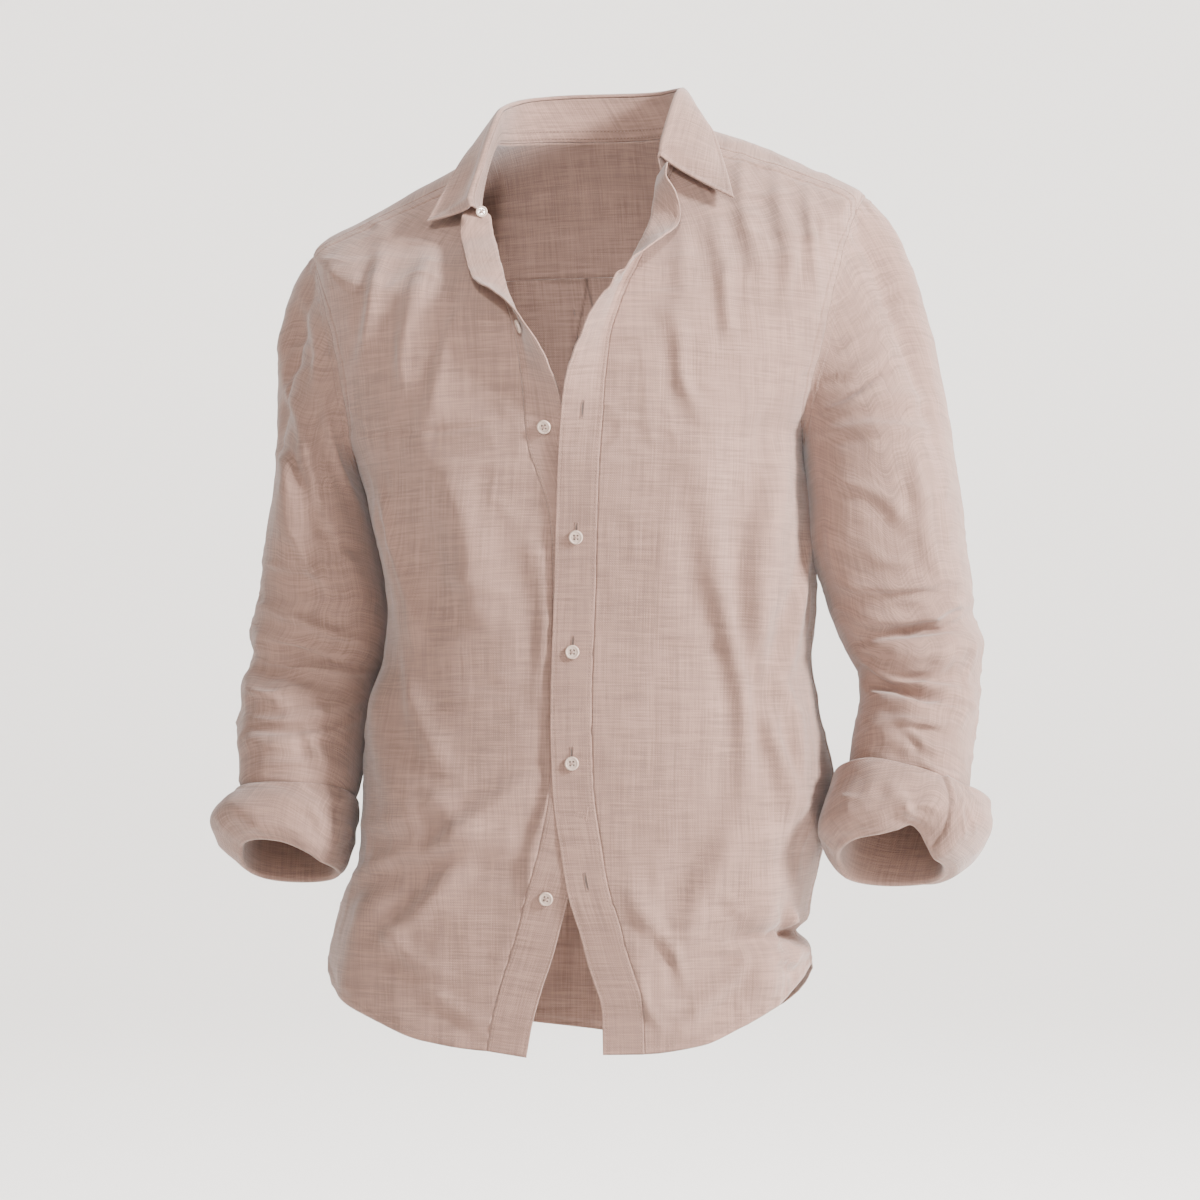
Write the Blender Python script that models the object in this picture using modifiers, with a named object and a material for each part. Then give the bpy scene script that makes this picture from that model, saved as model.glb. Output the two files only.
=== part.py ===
"""A man's linen shirt, worn open at the neck, with both sleeves rolled to below the elbow.

The garment keeps the hollow form that it has on a general figure. The front faces -Y, the wearer's
left is +X and +Z is up. Every cloth piece is an outer face worked out from the tables below, which
Solidify thickens inward. Tables are in millimetres and degrees, from a point on the figure's own
axis at the waist. The finished meshes are in metres, from the collar's resting place on the neck.
"""
import math

import bpy
import numpy as np
from mathutils import Vector

MM = 0.001                     # metres in a table unit
CLOTH = 1.4                    # wall of one layer of linen
DOUBLE = 1.8                   # wall of a folded and stitched layer
SEAM = 0.4                     # gap between neighbouring pieces
NECK_REST = (-4.0, 55.0, 385.0)    # where the collar rests on the back of the neck

BAND = 33.5                    # width of the two front bands
LAP = 3.6                      # how far the right front lies inside the left one
PLEAT_X = -28.0                # centre of the back's box pleat
PLEAT_HALF = 17.0
PLEAT_RISE = 5.0
PLEAT_OPENS = 45.0             # the pleat reaches its full rise this far under the yoke

BUTTON_R = 5.75
BUTTON_THICK = 2.6
BUTTON_EDGE = 0.5              # bevel round a button
STAND_BUTTON_R = 4.8

LINEN = (0.50, 0.39, 0.36)     # colour of the cloth
SHELL = (0.62, 0.52, 0.46)     # colour of the buttons

# How finely the pieces are divided.
LOW_LEVELS = np.array([-300, -268, -236, -204, -172, -140, -108, -76, -44, -12, 20, 54, 90, 125.0])
YOKE_ROWS = 9                  # rows from the armhole to the neck
YOKE_BACK_COLS = 20
FRONT_COLS = 10
AROUND_STEP = 15.0             # degrees between the columns of a sleeve
CAP_ROWS = np.array([0, 0.1, 0.24, 0.42, 0.6, 0.8])     # share of the way from the armhole
SLEEVE_HEIGHTS = 14
ELBOW_ROW = 10                 # rows of a sleeve above its elbow, where it is parted in two

# Level is the height of a section at the centre front. Right and left are the wearer's.
# level  centre  right  left  side_y  front  back  right_z  left_z  back_z  rise
TORSO = np.array([
    (-400, -6, -232, 178, 0, -113, 122, -400, -400, -400, 2.0),
    (-307, -6, -229, 176, 0, -115, 124, -307, -307, -307, 2.0),
    (-257, -6, -219, 176, 0, -118, 125, -257, -257, -257, 2.0),
    (-218, -6, -203, 184, 0, -120, 125, -218, -218, -218, 2.0),
    (-154, -6, -199, 195, 0, -122, 124, -154, -154, -154, 2.0),
    (-89, -5, -195, 182, 0, -121, 118, -89, -89, -89, 2.0),
    (-45, -5, -181, 176, 0, -119, 112, -46, -44, -45, 2.0),
    (0, -4, -177, 182, 0, -120, 111, -2, 2, 0, 2.0),
    (60, -1, -189, 180, 0, -124, 117, 55, 65, 62, 2.0),
    (125, 3, -204, 173, 2, -128, 125, 113, 133, 130, 2.0),
    (155, 3, -219, 193, 3, -127, 127, 152, 177, 168, 2.0),
    (185, 3, -232, 211, 4, -125, 127, 205, 236, 212, 2.0),
    (212, 1, -239, 218, 5, -120, 123, 256, 297, 255, 2.1),
    (235, -1, -241, 220, 5, -112, 115, 291, 332, 291, 2.3),
    (258, -2, -196, 176, 5, -103, 104, 322, 357, 322, 2.7),
    (280, -3, -138, 124, 4, -93, 88, 354, 380, 356, 3.3),
    (300, -4, -84, 75, 2, -82, 64, 383, 396, 389, 4.0),
])
SQUARE = 0.12                  # how much fuller than an ellipse a section is at its corners

ARMPIT, TIP = 125.0, 235.0     # levels of the armhole's lowest and highest points
ARM_SWING = 27.0               # half the armhole's width, in degrees round the section
FRONT_CORNER, BACK_CORNER = 30, 300     # where the yoke's seams meet the armhole, round the sleeve
NECK = 300.0                   # level of the neck seam
YOKE_SIDE = 72.0               # where the yoke's front seam meets the neck seam
YOKE_DROP = 226.0              # level of the yoke's seam at the centre back

# The hem of the shirt tail, from the centre front round to the centre back.
HEM = np.array([(0, -360), (15, -365), (30, -359), (45, -343), (60, -327), (75, -311), (90, -300),
                (110, -320), (135, -350), (180, -373)], float)

# Where each front's edge meets its band: height and distance across.
LEFT_EDGE = np.array([(-380, 52), (-340, 51), (-321, 50), (-304, 45), (-283, 38), (-258, 32),
                      (-237, 25), (-219, 21), (-197, 18), (-179, 15), (-155, 12), (-90, 10),
                      (-41, 11), (6, 13), (62, 15), (124, 18), (150, 20), (171, 21), (192, 23),
                      (212, 25), (233, 30), (255, 37), (269, 43), (291, 51), (309, 56),
                      (336, 59.5), (350, 61)], float)
RIGHT_EDGE = np.array([(-380, -80), (-345, -75), (-307, -65), (-278, -55), (-238, -44),
                       (-200, -33), (-150, -24), (-100, -22), (40, -22), (70, -25), (100, -34),
                       (124, -42), (140, -44), (182, -48), (224, -56), (245, -64), (278, -75),
                       (300, -84), (315, -89), (330, -93)], float)
# How far each band has turned outward: height and angle.
LEFT_ROLL = np.array([(-400, 0), (100, 0), (124, 4), (150, 12), (171, 30), (192, 52), (212, 72),
                      (233, 100), (255, 132), (269, 148), (291, 166), (309, 168), (330, 155)], float)
RIGHT_ROLL = np.array([(-400, 0), (120, 0), (139, 8), (160, 20), (182, 40), (205, 65), (224, 92),
                       (245, 130), (260, 158), (278, 172), (310, 165), (330, 130)], float)
MIDDLE = 4                     # the step nearest the middle of a band
EDGE_LIMIT = 60.0              # no edge lies farther round the body than this
BAND_STEPS = (0.0, 3.0, 6.0, 9.5, 16.0, 24.0, BAND)
ROLL_RUN = 11.0                # the turn is made over this much of the band
BAND_TURN = 9.5                # angle round the body that a flat band covers

# The right front has slipped off the neck's side: shift, and where it is felt.
FALL = np.array([-20.0, 2.0, -20.0])
FALL_ANGLE, FALL_SPREAD, FALL_FROM = -52.0, 22.0, 205.0

# Large folds of the body: angle and height of both ends, half width, rise (minus for a trough).
BODY_FOLDS = np.array([
    (58, 105, 44, -60, 22, 7), (-62, 95, -50, -30, 22, 7), (66, -90, 36, -235, 24, 8),
    (-66, -70, -34, -200, 24, 7), (34, 160, 22, 20, 22, 5), (-34, 120, -22, -30, 22, 5),
    (14, -230, 18, -350, 20, 5), (50, -215, 54, -330, 22, 8), (-50, -235, -56, -340, 22, 7),
    (150, 170, 156, -120, 26, 7), (210, 180, 202, -100, 26, 7), (126, 110, 140, -60, 24, 6),
    (234, 120, 222, -50, 24, 6), (118, -110, 124, -310, 24, 8), (242, -100, 236, -310, 24, 8),
    (168, -180, 160, -350, 24, 7), (200, -200, 206, -350, 24, 6)], float)

# Sleeve sections under the armhole: centre, half width, half depth.
# height  x  y  half_width  half_depth
RIGHT_SLEEVE = np.array([
    (80, -239, 6, 38, 72), (45, -239, 8, 45, 69), (5, -238, 12, 53, 65), (-26, -240, 14, 56, 62),
    (-55, -247, 12, 52, 60), (-90, -253, 4, 50, 58), (-129, -255, -10, 48, 56),
    (-165, -254, -24, 46, 54), (-192, -254, -35, 41, 47), (-210, -254, -42, 38, 43)], float)
LEFT_SLEEVE = np.array([
    (80, 243, 2, 57, 73), (45, 246, 4, 58, 70), (2, 253, 10, 57, 66), (-28, 260, 12, 54, 62),
    (-58, 266, 8, 50, 58), (-90, 265, 0, 49, 56), (-122, 261, -14, 50, 55),
    (-152, 258, -26, 50, 54), (-186, 253, -39, 45, 49), (-206, 248, -47, 41, 44)], float)
# Turned-back cuffs, from the top edge down to the fold at the bottom.
RIGHT_CUFF = np.array([
    (-158, -253, -21, 50, 59), (-168, -257, -25, 55, 62), (-186, -262, -32, 58.5, 65),
    (-202, -261, -38, 55, 61), (-214, -256, -43, 48, 53), (-219, -254, -45, 42, 47)], float)
LEFT_CUFF = np.array([
    (-142, 260, -22, 62, 61), (-156, 259, -28, 64, 64), (-178, 255, -36, 67, 67),
    (-196, 250, -43, 64, 64), (-210, 247, -48, 54, 55), (-216, 246, -50, 45.5, 48.5)], float)
CUFF_TILT = math.radians(22)    # the forearm's lean to the front
# How hard the sleeve's start follows the body's cloth, and the run into its first section.
START_PULL = np.array([(0, 200), (45, 120), (90, 40), (180, 16), (270, 40), (315, 120),
                       (360, 200)], float)
END_PULL = np.array([(0, 170), (90, 105), (180, 26), (270, 105), (360, 170)], float)
# Large folds of the sleeves: angle and height of both ends, half width, rise.
RIGHT_SLEEVE_FOLDS = np.array([
    (-20, -22, 100, -36, 13, 7), (-20, -42, 120, -60, 11, -8), (0, -66, 110, -90, 13, 7),
    (-10, -104, 100, -124, 13, 6), (210, -20, 310, -40, 13, 6), (60, 130, 80, 30, 17, 6),
    (-50, 150, -70, 40, 17, 6)], float)
LEFT_SLEEVE_FOLDS = np.array([
    (-20, -8, 110, -26, 12, -7), (-20, -32, 130, -46, 12, 8), (10, -56, 140, -72, 11, -7),
    (0, -86, 120, -96, 12, 7), (60, 140, 140, 96, 15, 6), (-50, 140, -70, 40, 17, 6),
    (220, -34, 320, -50, 13, 7)], float)

# The collar, from the wearer's right end round the back to the left: angle round the neck, then the
# fold's place from the seam under it, and the place of the leaf's outer edge.
FOLD = np.array([(56, -4, -20, 10), (66, 2, -11, 20), (90, 4, -2, 27), (135, 4, -1, 35),
                 (180, 0, -3, 37), (225, -3, -2, 36), (270, -8, -6, 25), (288, -9, -7, 21),
                 (300, -8, -8, 20), (310, -3, -6, 21)], float)
LEAF = np.array([(56, -134, -66, 311), (66, -126, -52, 332), (90, -103, -8, 380), (135, -75, 57, 386),
                 (180, -4, 78, 386), (225, 66, 57, 390), (270, 101, -11, 396), (290, 111, -44, 361),
                 (310, 121, -76, 329)], float)
# The leaf's way over the stand's top: outward and up from the fold.
LEAF_TOP = ((-0.3, 2.8), (2.1, 3.8), (4.7, 2.0))
LEAF_RUN = (0.12, 0.3, 0.52, 0.76, 1.0)
LEAF_BOW = (7.0, 10.0)         # how the leaf bows out and drops before it runs to its edge
STAND_ROWS = (0.0, 0.5, 1.0)

# Buttons of the front: which band, height on it, and gap to the cloth's middle under it.
BUTTONS = (("right", 220.0, 1.3), ("right", 139.5, 1.0), ("left", 52.0, SEAM), ("left", -39.0, SEAM),
           ("left", -132.0, SEAM), ("right", -238.0, SEAM))
STAND_BUTTON = (-87.0, -75.4, 317.0)    # at the stand's right end, above the turned band
STAND_BUTTON_OUT = (0.14, -0.98, 0.1)
COLLAR_INSET = 6.0             # twice what the collar's ends stand back from the fronts' edges


def ease(rows, at):
    """Smooth value of each column of rows at places in its first column, with no overshoot."""
    xs, ys = rows[:, 0], rows[:, 1:]
    at = np.clip(np.asarray(at, float), xs[0], xs[-1])
    run = np.diff(xs)[:, None]
    slope = np.diff(ys, axis=0) / run
    before, after = slope[:-1], slope[1:]
    w_before, w_after = 2 * run[1:] + run[:-1], run[1:] + 2 * run[:-1]
    same = before * after > 0
    safe_b, safe_a = np.where(same, before, 1), np.where(same, after, 1)
    mean = (w_before + w_after) / (w_before / safe_b + w_after / safe_a)
    lean = np.vstack([slope[:1], np.where(same, mean, 0), slope[-1:]])
    k = np.clip(np.searchsorted(xs, at, side="right") - 1, 0, len(xs) - 2)
    t = ((at - xs[k]) / run[k, 0])[..., None]
    h = run[k]
    value = ((1 + 2 * t) * (1 - t) ** 2 * ys[k] + t * (1 - t) ** 2 * h * lean[k]
             + t * t * (3 - 2 * t) * ys[k + 1] + t * t * (t - 1) * h * lean[k + 1])
    return value[..., 0] if ys.shape[1] == 1 else value


def unit(v):
    """Vectors of length one."""
    return v / np.maximum(np.linalg.norm(v, axis=-1, keepdims=True), 1e-9)


def step(t):
    """Smooth step from 0 to 1."""
    t = np.clip(t, 0, 1)
    return t * t * (3 - 2 * t)


def folds(u, v, rows, scale):
    """Sum of soft ridges, each along a line from one end to the other, fading at both ends."""
    total = np.zeros(np.broadcast(u, v).shape)
    for u0, v0, u1, v1, half, rise in rows:
        for turn in (-360.0, 0.0, 360.0):
            du, dv = (u1 - u0) * scale, v1 - v0
            pu, pv = (u + turn - u0) * scale, v - v0
            length = math.hypot(du, dv)
            along = (pu * du + pv * dv) / length ** 2
            off = (pu * dv - pv * du) / length
            fade = step((along + 0.15) / 0.4) * step((1.15 - along) / 0.4)
            total = total + rise * fade * np.exp(-(off / half) ** 2)
    return total


def plain_torso(angle, level):
    """Body surface: sections by level, angle from the front, +90 at the wearer's left."""
    c, right, left, side_y, front, back, right_z, left_z, back_z, rise = np.moveaxis(
        ease(TORSO, level), -1, 0)
    a = np.radians(angle)
    s, k = np.sin(a), np.cos(a)
    x = c + np.where(s > 0, left - c, c - right) * s * (1 + SQUARE * k * k)
    y = side_y + np.where(k > 0, front - side_y, side_y - back) * k * (1 + SQUARE * s * s)
    side = np.abs(s) ** rise
    z = side * np.where(s > 0, left_z, right_z) + (1 - side) * np.where(k > 0, level, back_z)
    turned = np.mod(angle + 180.0, 360.0) - 180.0
    felt = np.exp(-((turned - FALL_ANGLE) / FALL_SPREAD) ** 2)
    felt = felt * step((level - FALL_FROM) / (NECK - FALL_FROM))
    return np.stack([x, y, z], -1) + felt[..., None] * FALL


def torso_normal(angle, level):
    """Outward direction of the body surface, from its two slopes."""
    e, d = 0.5, 1.0
    low, high = np.clip(level - d, -400, NECK), np.clip(level + d, -400, NECK)
    round_ = plain_torso(angle + e, level) - plain_torso(angle - e, level)
    up = plain_torso(angle, high) - plain_torso(angle, low)
    return unit(np.cross(round_, up))


def torso(angle, level):
    """Body surface with its large folds and the back's box pleat."""
    base = plain_torso(angle, level)
    lift = folds(angle, level, BODY_FOLDS, 2.6)
    turned = np.mod(angle, 360.0)
    across = (base[..., 0] - PLEAT_X) / PLEAT_HALF
    behind = (turned > 120) & (turned < 240)
    pleat = PLEAT_RISE * np.clip(3.5 * (1 - np.abs(across)), 0, 1) * step((level + 20) / 160)
    pleat = pleat * step((YOKE_DROP - level) / PLEAT_OPENS)
    lift = lift * step((NECK - level) / 60) + np.where(behind, pleat, 0)
    return base + torso_normal(angle, level) * lift[..., None]


def armhole(side, around):
    """Domain point of the armhole at an angle round the sleeve: 0 tip, 90 front, 180 armpit."""
    a = np.radians(around)
    level = ARMPIT + (TIP - ARMPIT) * (1 + np.cos(a)) / 2
    return np.stack([side * (90 - ARM_SWING * np.sin(a)), level + 0 * a], -1)


def hem_level(angle):
    """Height of the hem at an angle from the front."""
    return ease(HEM, np.abs(np.mod(angle + 180.0, 360.0) - 180.0))


def edge_angle(side, level):
    """Angle where a front's edge crosses a section, found by halving."""
    table = LEFT_EDGE if side > 0 else RIGHT_EDGE
    low, high = np.full_like(level, -EDGE_LIMIT), np.full_like(level, EDGE_LIMIT)
    for _ in range(40):
        mid = (low + high) / 2
        p = plain_torso(mid, level)
        past = p[..., 0] > ease(table, p[..., 2])
        high, low = np.where(past, mid, high), np.where(past, low, mid)
    return (low + high) / 2


def spread(a, b, count):
    """Points from a to b, closer together near a, without the last."""
    return a + (b - a) * (np.arange(count)[:, None] / count) ** 1.3


def coons(bottom, top, start, end):
    """Domain points of a panel from its four edges, given corner to corner."""
    c = np.linspace(0, 1, len(bottom))[None, :, None]
    r = np.linspace(0, 1, len(start))[:, None, None]
    rows = (1 - c) * start[:, None] + c * end[:, None]
    cols = (1 - r) * bottom[None] + r * top[None]
    corners = ((1 - r) * ((1 - c) * bottom[0] + c * bottom[-1])
               + r * ((1 - c) * top[0] + c * top[-1]))
    return rows + cols - corners


def trim(grid, edges, gap=SEAM):
    """Pull the named edges of a grid of points back by half the seam's gap."""
    g = grid.copy()
    half = gap / 2
    if "bottom" in edges:
        g[0] += unit(grid[1] - grid[0]) * half
    if "top" in edges:
        g[-1] += unit(grid[-2] - grid[-1]) * half
    if "start" in edges:
        g[:, 0] += unit(grid[:, 1] - grid[:, 0]) * half
    if "end" in edges:
        g[:, -1] += unit(grid[:, -2] - grid[:, -1]) * half
    return g


def yoke_corner(side):
    """Domain point where the yoke's front seam meets the armhole."""
    return armhole(side, np.array([FRONT_CORNER]))[0]


def front_sides(side):
    """Domain points of a front's outer edge: side seam, armhole, then the yoke's front seam."""
    seam = np.stack([np.full(len(LOW_LEVELS), side * 90.0), LOW_LEVELS], -1)
    hole = armhole(side, np.arange(180 - AROUND_STEP, FRONT_CORNER - 1, -AROUND_STEP))
    neck = np.array([side * YOKE_SIDE, NECK])
    yoke = spread(yoke_corner(side), neck, YOKE_ROWS)[1:]
    return np.vstack([seam, hole, yoke, neck])


def front_edge(side, outer):
    """Domain points of a front's inner edge, a row for each of the outer edge's."""
    count = len(outer)
    n_low = len(LOW_LEVELS) - 1
    n_arm = n_low + (180 - FRONT_CORNER) / AROUND_STEP
    rows = np.arange(count, dtype=float)
    guide = np.array([(0, -360.0), (n_low, 112), (n_arm, 236), (count - 1, NECK)])
    level = ease(guide, rows)
    for _ in range(6):
        angle = edge_angle(side, level)
        level[0] = hem_level(angle[0])
    return np.stack([angle, level], -1)


def front_domain(side):
    """Domain grid of a front: rows from hem to neck, columns from the band to the side."""
    outer = front_sides(side)
    inner = front_edge(side, outer)
    c = np.linspace(0, 1, FRONT_COLS + 1)
    hem_angle = inner[0, 0] + (outer[0, 0] - inner[0, 0]) * c
    bottom = np.stack([hem_angle, hem_level(hem_angle)], -1)
    top = np.stack([inner[-1, 0] + (outer[-1, 0] - inner[-1, 0]) * c, np.full(len(c), NECK)], -1)
    return coons(bottom, top, inner, outer)


def front_surface(side, domain):
    """Outer face of a front. The right one dips under the left one at the centre."""
    p = torso(domain[..., 0], domain[..., 1])
    if side > 0:
        return p
    from_edge = np.linalg.norm(np.cumsum(np.diff(p, axis=1, prepend=p[:, :1]), axis=1), axis=-1)
    dip = LAP * (1 - step(from_edge / 90.0))
    return p - torso_normal(domain[..., 0], domain[..., 1]) * dip[..., None]


def band_surface(side, panel, domain):
    """Band from a front's edge: each row runs on toward the centre, then turns outward."""
    base = panel[:, 0]
    along = unit(np.gradient(base, axis=0))
    angle, level = domain[:, 0, 0], domain[:, 0, 1]
    toward = torso(angle - side * BAND_TURN, level) - torso(angle, level)
    toward = unit(toward - along * np.sum(toward * along, -1, keepdims=True))
    out = unit(np.cross(along, toward)) * side
    roll = np.radians(ease(LEFT_ROLL if side > 0 else RIGHT_ROLL, base[:, 2]))
    fine = np.linspace(0, BAND, 68)
    turn = roll[:, None] * step(fine / ROLL_RUN)[None]
    dx, dn = np.cos(turn), np.sin(turn)
    width = np.diff(fine, prepend=0.0)[None]
    x = np.stack([np.interp(BAND_STEPS, fine, row) for row in np.cumsum(dx * width, 1)])
    n = np.stack([np.interp(BAND_STEPS, fine, row) for row in np.cumsum(dn * width, 1)])
    return base[:, None] + toward[:, None] * x[..., None] + out[:, None] * n[..., None]


def back_domain():
    """Domain grid of the back: rows from hem to the yoke's seam, columns from left to right."""
    hole = armhole(1, np.arange(180 + AROUND_STEP, BACK_CORNER + 1, AROUND_STEP))
    seam = np.stack([np.full(len(LOW_LEVELS), 90.0), LOW_LEVELS], -1)
    left = np.vstack([seam, hole])
    right = left * (-1, 1) + (360, 0)
    angle = np.linspace(left[-1, 0], right[-1, 0], YOKE_BACK_COLS + 1)
    top = np.stack([angle, yoke_seam(angle)], -1)
    low = np.linspace(90, 270, YOKE_BACK_COLS + 1)
    bottom = np.stack([low, hem_level(low)], -1)
    return coons(bottom, top, left, right)


def yoke_seam(angle):
    """Level of the yoke's back seam: highest at the centre, falling to the armholes."""
    corner = armhole(1, np.array([BACK_CORNER]))[0]
    t = np.abs(np.mod(angle, 360.0) - 180) / (180 - corner[0])
    return YOKE_DROP + (corner[1] - YOKE_DROP) * t ** 2


def yoke_domain():
    """Domain grid of the yoke: rows from its lower edge to the neck, columns left to right."""
    tip = np.arange(FRONT_CORNER, BACK_CORNER - 360, -AROUND_STEP)
    left_tip = armhole(1, tip)
    corner = armhole(1, np.array([BACK_CORNER]))[0]
    angle = np.linspace(corner[0], 360 - corner[0], YOKE_BACK_COLS + 1)
    back = np.stack([angle, yoke_seam(angle)], -1)
    right_tip = left_tip[::-1] * (-1, 1) + (360, 0)
    bottom = np.vstack([left_tip, back, right_tip])
    n = len(left_tip)
    stops = np.array([(0, YOKE_SIDE), (n, 104), (n + YOKE_BACK_COLS, 256),
                      (len(bottom) - 1, 360 - YOKE_SIDE)])
    neck = np.stack([ease(stops, np.arange(len(bottom), dtype=float)),
                     np.full(len(bottom), NECK)], -1)
    start = np.vstack([spread(bottom[0], neck[0], YOKE_ROWS), neck[:1]])
    end = np.vstack([spread(bottom[-1], neck[-1], YOKE_ROWS), neck[-1:]])
    return coons(bottom, neck, start, end)


def sections(rows, at, around, tilt=None):
    """Rings across a bent path: rows give height, centre, half width and half depth.

    A ring lies square to the path, or leans forward by the given tilt.
    """
    order = np.argsort(rows[:, 0])
    table = rows[order]
    value = ease(table, at)
    centre = np.concatenate([value[..., :2], np.asarray(at)[..., None]], -1)
    ahead = ease(table, at - 4.0)
    behind = ease(table, at + 4.0)
    path = np.concatenate([ahead[..., :2] - behind[..., :2], np.full(at.shape + (1,), -8.0)], -1)
    path = unit(path)
    if tilt is not None:
        path = np.zeros_like(path) + (0.0, -math.sin(tilt), -math.cos(tilt))
    side = 1.0 if table[0, 1] > 0 else -1.0
    across = np.zeros_like(path) + (side, 0.0, 0.0)
    across = unit(across - path * np.sum(across * path, -1, keepdims=True))
    ahead_dir = unit(np.cross(path, across)) * side
    a = np.radians(around)
    x = value[..., 2] * np.cos(a) * (1 + SQUARE * np.sin(a) ** 2)
    y = value[..., 3] * np.sin(a) * (1 + SQUARE * np.cos(a) ** 2)
    return centre + across * x[..., None] + ahead_dir * y[..., None]


def sleeve_cap(side, rows, around, t):
    """Cloth between the armhole and the first section: a Hermite curve at each angle."""
    at = armhole(side, around)
    start = torso(at[..., 0], at[..., 1])
    before = at * 1.3 - 0.3 * np.array([side * 90.0, (ARMPIT + TIP) / 2])
    lead = unit(start - torso(before[..., 0], before[..., 1]))
    down = np.abs(np.sin(np.radians(around / 2)))[..., None] ** 6
    lead = unit(lead + down * np.array([side * 0.9, 0.0, 0.0]))
    first = rows[0, 0]
    end = sections(rows, np.full(around.shape, first), around)
    leave = unit(sections(rows, np.full(around.shape, first - 6.0), around) - end)
    m0, m1 = ease(START_PULL, around)[..., None], ease(END_PULL, around)[..., None]
    t = t[..., None]
    return ((1 + 2 * t) * (1 - t) ** 2 * start + t * (1 - t) ** 2 * m0 * lead
            + t * t * (3 - 2 * t) * end + t * t * (t - 1) * m1 * leave)


def sleeve_surface(side):
    """Outer face of a sleeve, from the armhole to where it goes under the cuff's fold."""
    rows = LEFT_SLEEVE if side > 0 else RIGHT_SLEEVE
    crease = LEFT_SLEEVE_FOLDS if side > 0 else RIGHT_SLEEVE_FOLDS
    around = np.arange(0, 360, AROUND_STEP)
    a, t = np.meshgrid(around, CAP_ROWS)
    cap = sleeve_cap(side, rows, a, t)
    heights = np.linspace(rows[0, 0], rows[-1, 0], SLEEVE_HEIGHTS)
    a2, h2 = np.meshgrid(around, heights)
    tube = sections(rows, h2, a2)
    grid = np.vstack([cap, tube])
    angle = np.vstack([a, a2])
    middle = grid.mean(axis=1, keepdims=True)
    lift = folds(angle, grid[..., 2], crease, 1.0)
    start = np.vstack([step(t / 0.5), np.ones_like(a2)])
    lift = lift * start * step((grid[..., 2] - rows[-3, 0]) / 30.0 + 0.2)
    away = unit((grid - middle) * (1, 1, 0.2))
    inner = np.clip(-np.cos(np.radians(angle)), 0, 1)
    lift = np.where(lift > 0, lift * (1 - inner), lift)
    return grid + away * lift[..., None]


def cuff_surface(side):
    """Outer face of a turned-back cuff, from its top edge to the fold round the opening."""
    rows = LEFT_CUFF if side > 0 else RIGHT_CUFF
    around = np.arange(0, 360, AROUND_STEP)
    a, h = np.meshgrid(around, rows[:, 0])
    return sections(rows, h, a, CUFF_TILT)


def neck_angles():
    """Angles of the neck seam's points, from the stand's right end round the back to its left."""
    right = -front_domain(-1)[-1, :-1:2, 0]
    back = 360.0 - yoke_domain()[-1, ::-1, 0]
    left = 360.0 - front_domain(1)[-1, -3::-2, 0]
    return np.concatenate([right, back, left])


def collar_lines():
    """Seam, fold, outward and up at each point round the neck."""
    turn = neck_angles()
    seam = torso(-turn, np.full(len(turn), NECK))
    up = ease(FOLD, turn)
    fold = seam + up
    along = unit(np.gradient(fold, axis=0))
    outward = unit(np.cross(np.broadcast_to((0.0, 0.0, 1.0), along.shape), along))
    return turn, seam, fold, outward, unit(up)


def stand_surface():
    """Outer face of the collar stand: straight from the neck seam up to the fold."""
    _, seam, fold, _, up = collar_lines()
    seam = seam + up * SEAM
    return np.stack([seam + (fold - seam) * t for t in STAND_ROWS])


def leaf_surface():
    """Outer face of the collar leaf: over the stand's top, then bowing out to its edge."""
    turn, _, fold, outward, up = collar_lines()
    over = [fold + outward * out + up * rise for out, rise in LEAF_TOP]
    start, edge = over[-1], ease(LEAF, turn)
    bow = start + outward * LEAF_BOW[0] - up * LEAF_BOW[1]
    run = [start * (1 - t) ** 2 + bow * 2 * t * (1 - t) + edge * t * t for t in LEAF_RUN]
    return np.stack(over + run)


def band_place(grid, height):
    """Point and outward direction at the middle of a band, at a height."""
    line = grid[:, MIDDLE]
    order = np.argsort(line[:, 2])
    row = np.interp(height, line[order, 2], np.arange(len(line))[order])
    low = int(row)
    mix = row - low
    point = line[low] * (1 - mix) + line[low + 1] * mix
    along = unit(line[low + 1] - line[low])
    across = unit(grid[low, MIDDLE + 1] - grid[low, MIDDLE - 1])
    out = np.cross(along, across)
    return point, out * (1 if grid is BANDS["left"] else -1)


def button(name, point, out, radius, gap):
    """Round button with an eased edge, its back a gap off the cloth."""
    bpy.ops.mesh.primitive_cylinder_add(vertices=16, radius=radius * MM, depth=BUTTON_THICK * MM)
    obj = bpy.context.object
    obj.name = obj.data.name = name
    centre = point + out * (gap + BUTTON_THICK / 2)
    obj.location = (centre - NECK_REST) * MM
    obj.rotation_euler = Vector(out).to_track_quat("Z", "Y").to_euler()
    edge = obj.modifiers.new("edge", "BEVEL")
    edge.width = BUTTON_EDGE * MM
    edge.segments = 1
    edge.limit_method = "ANGLE"
    for home in list(obj.users_collection):
        home.objects.unlink(obj)
    SHIRT.objects.link(obj)
    obj.data.materials.append(finish(name, SHELL, 0.35))


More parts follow.
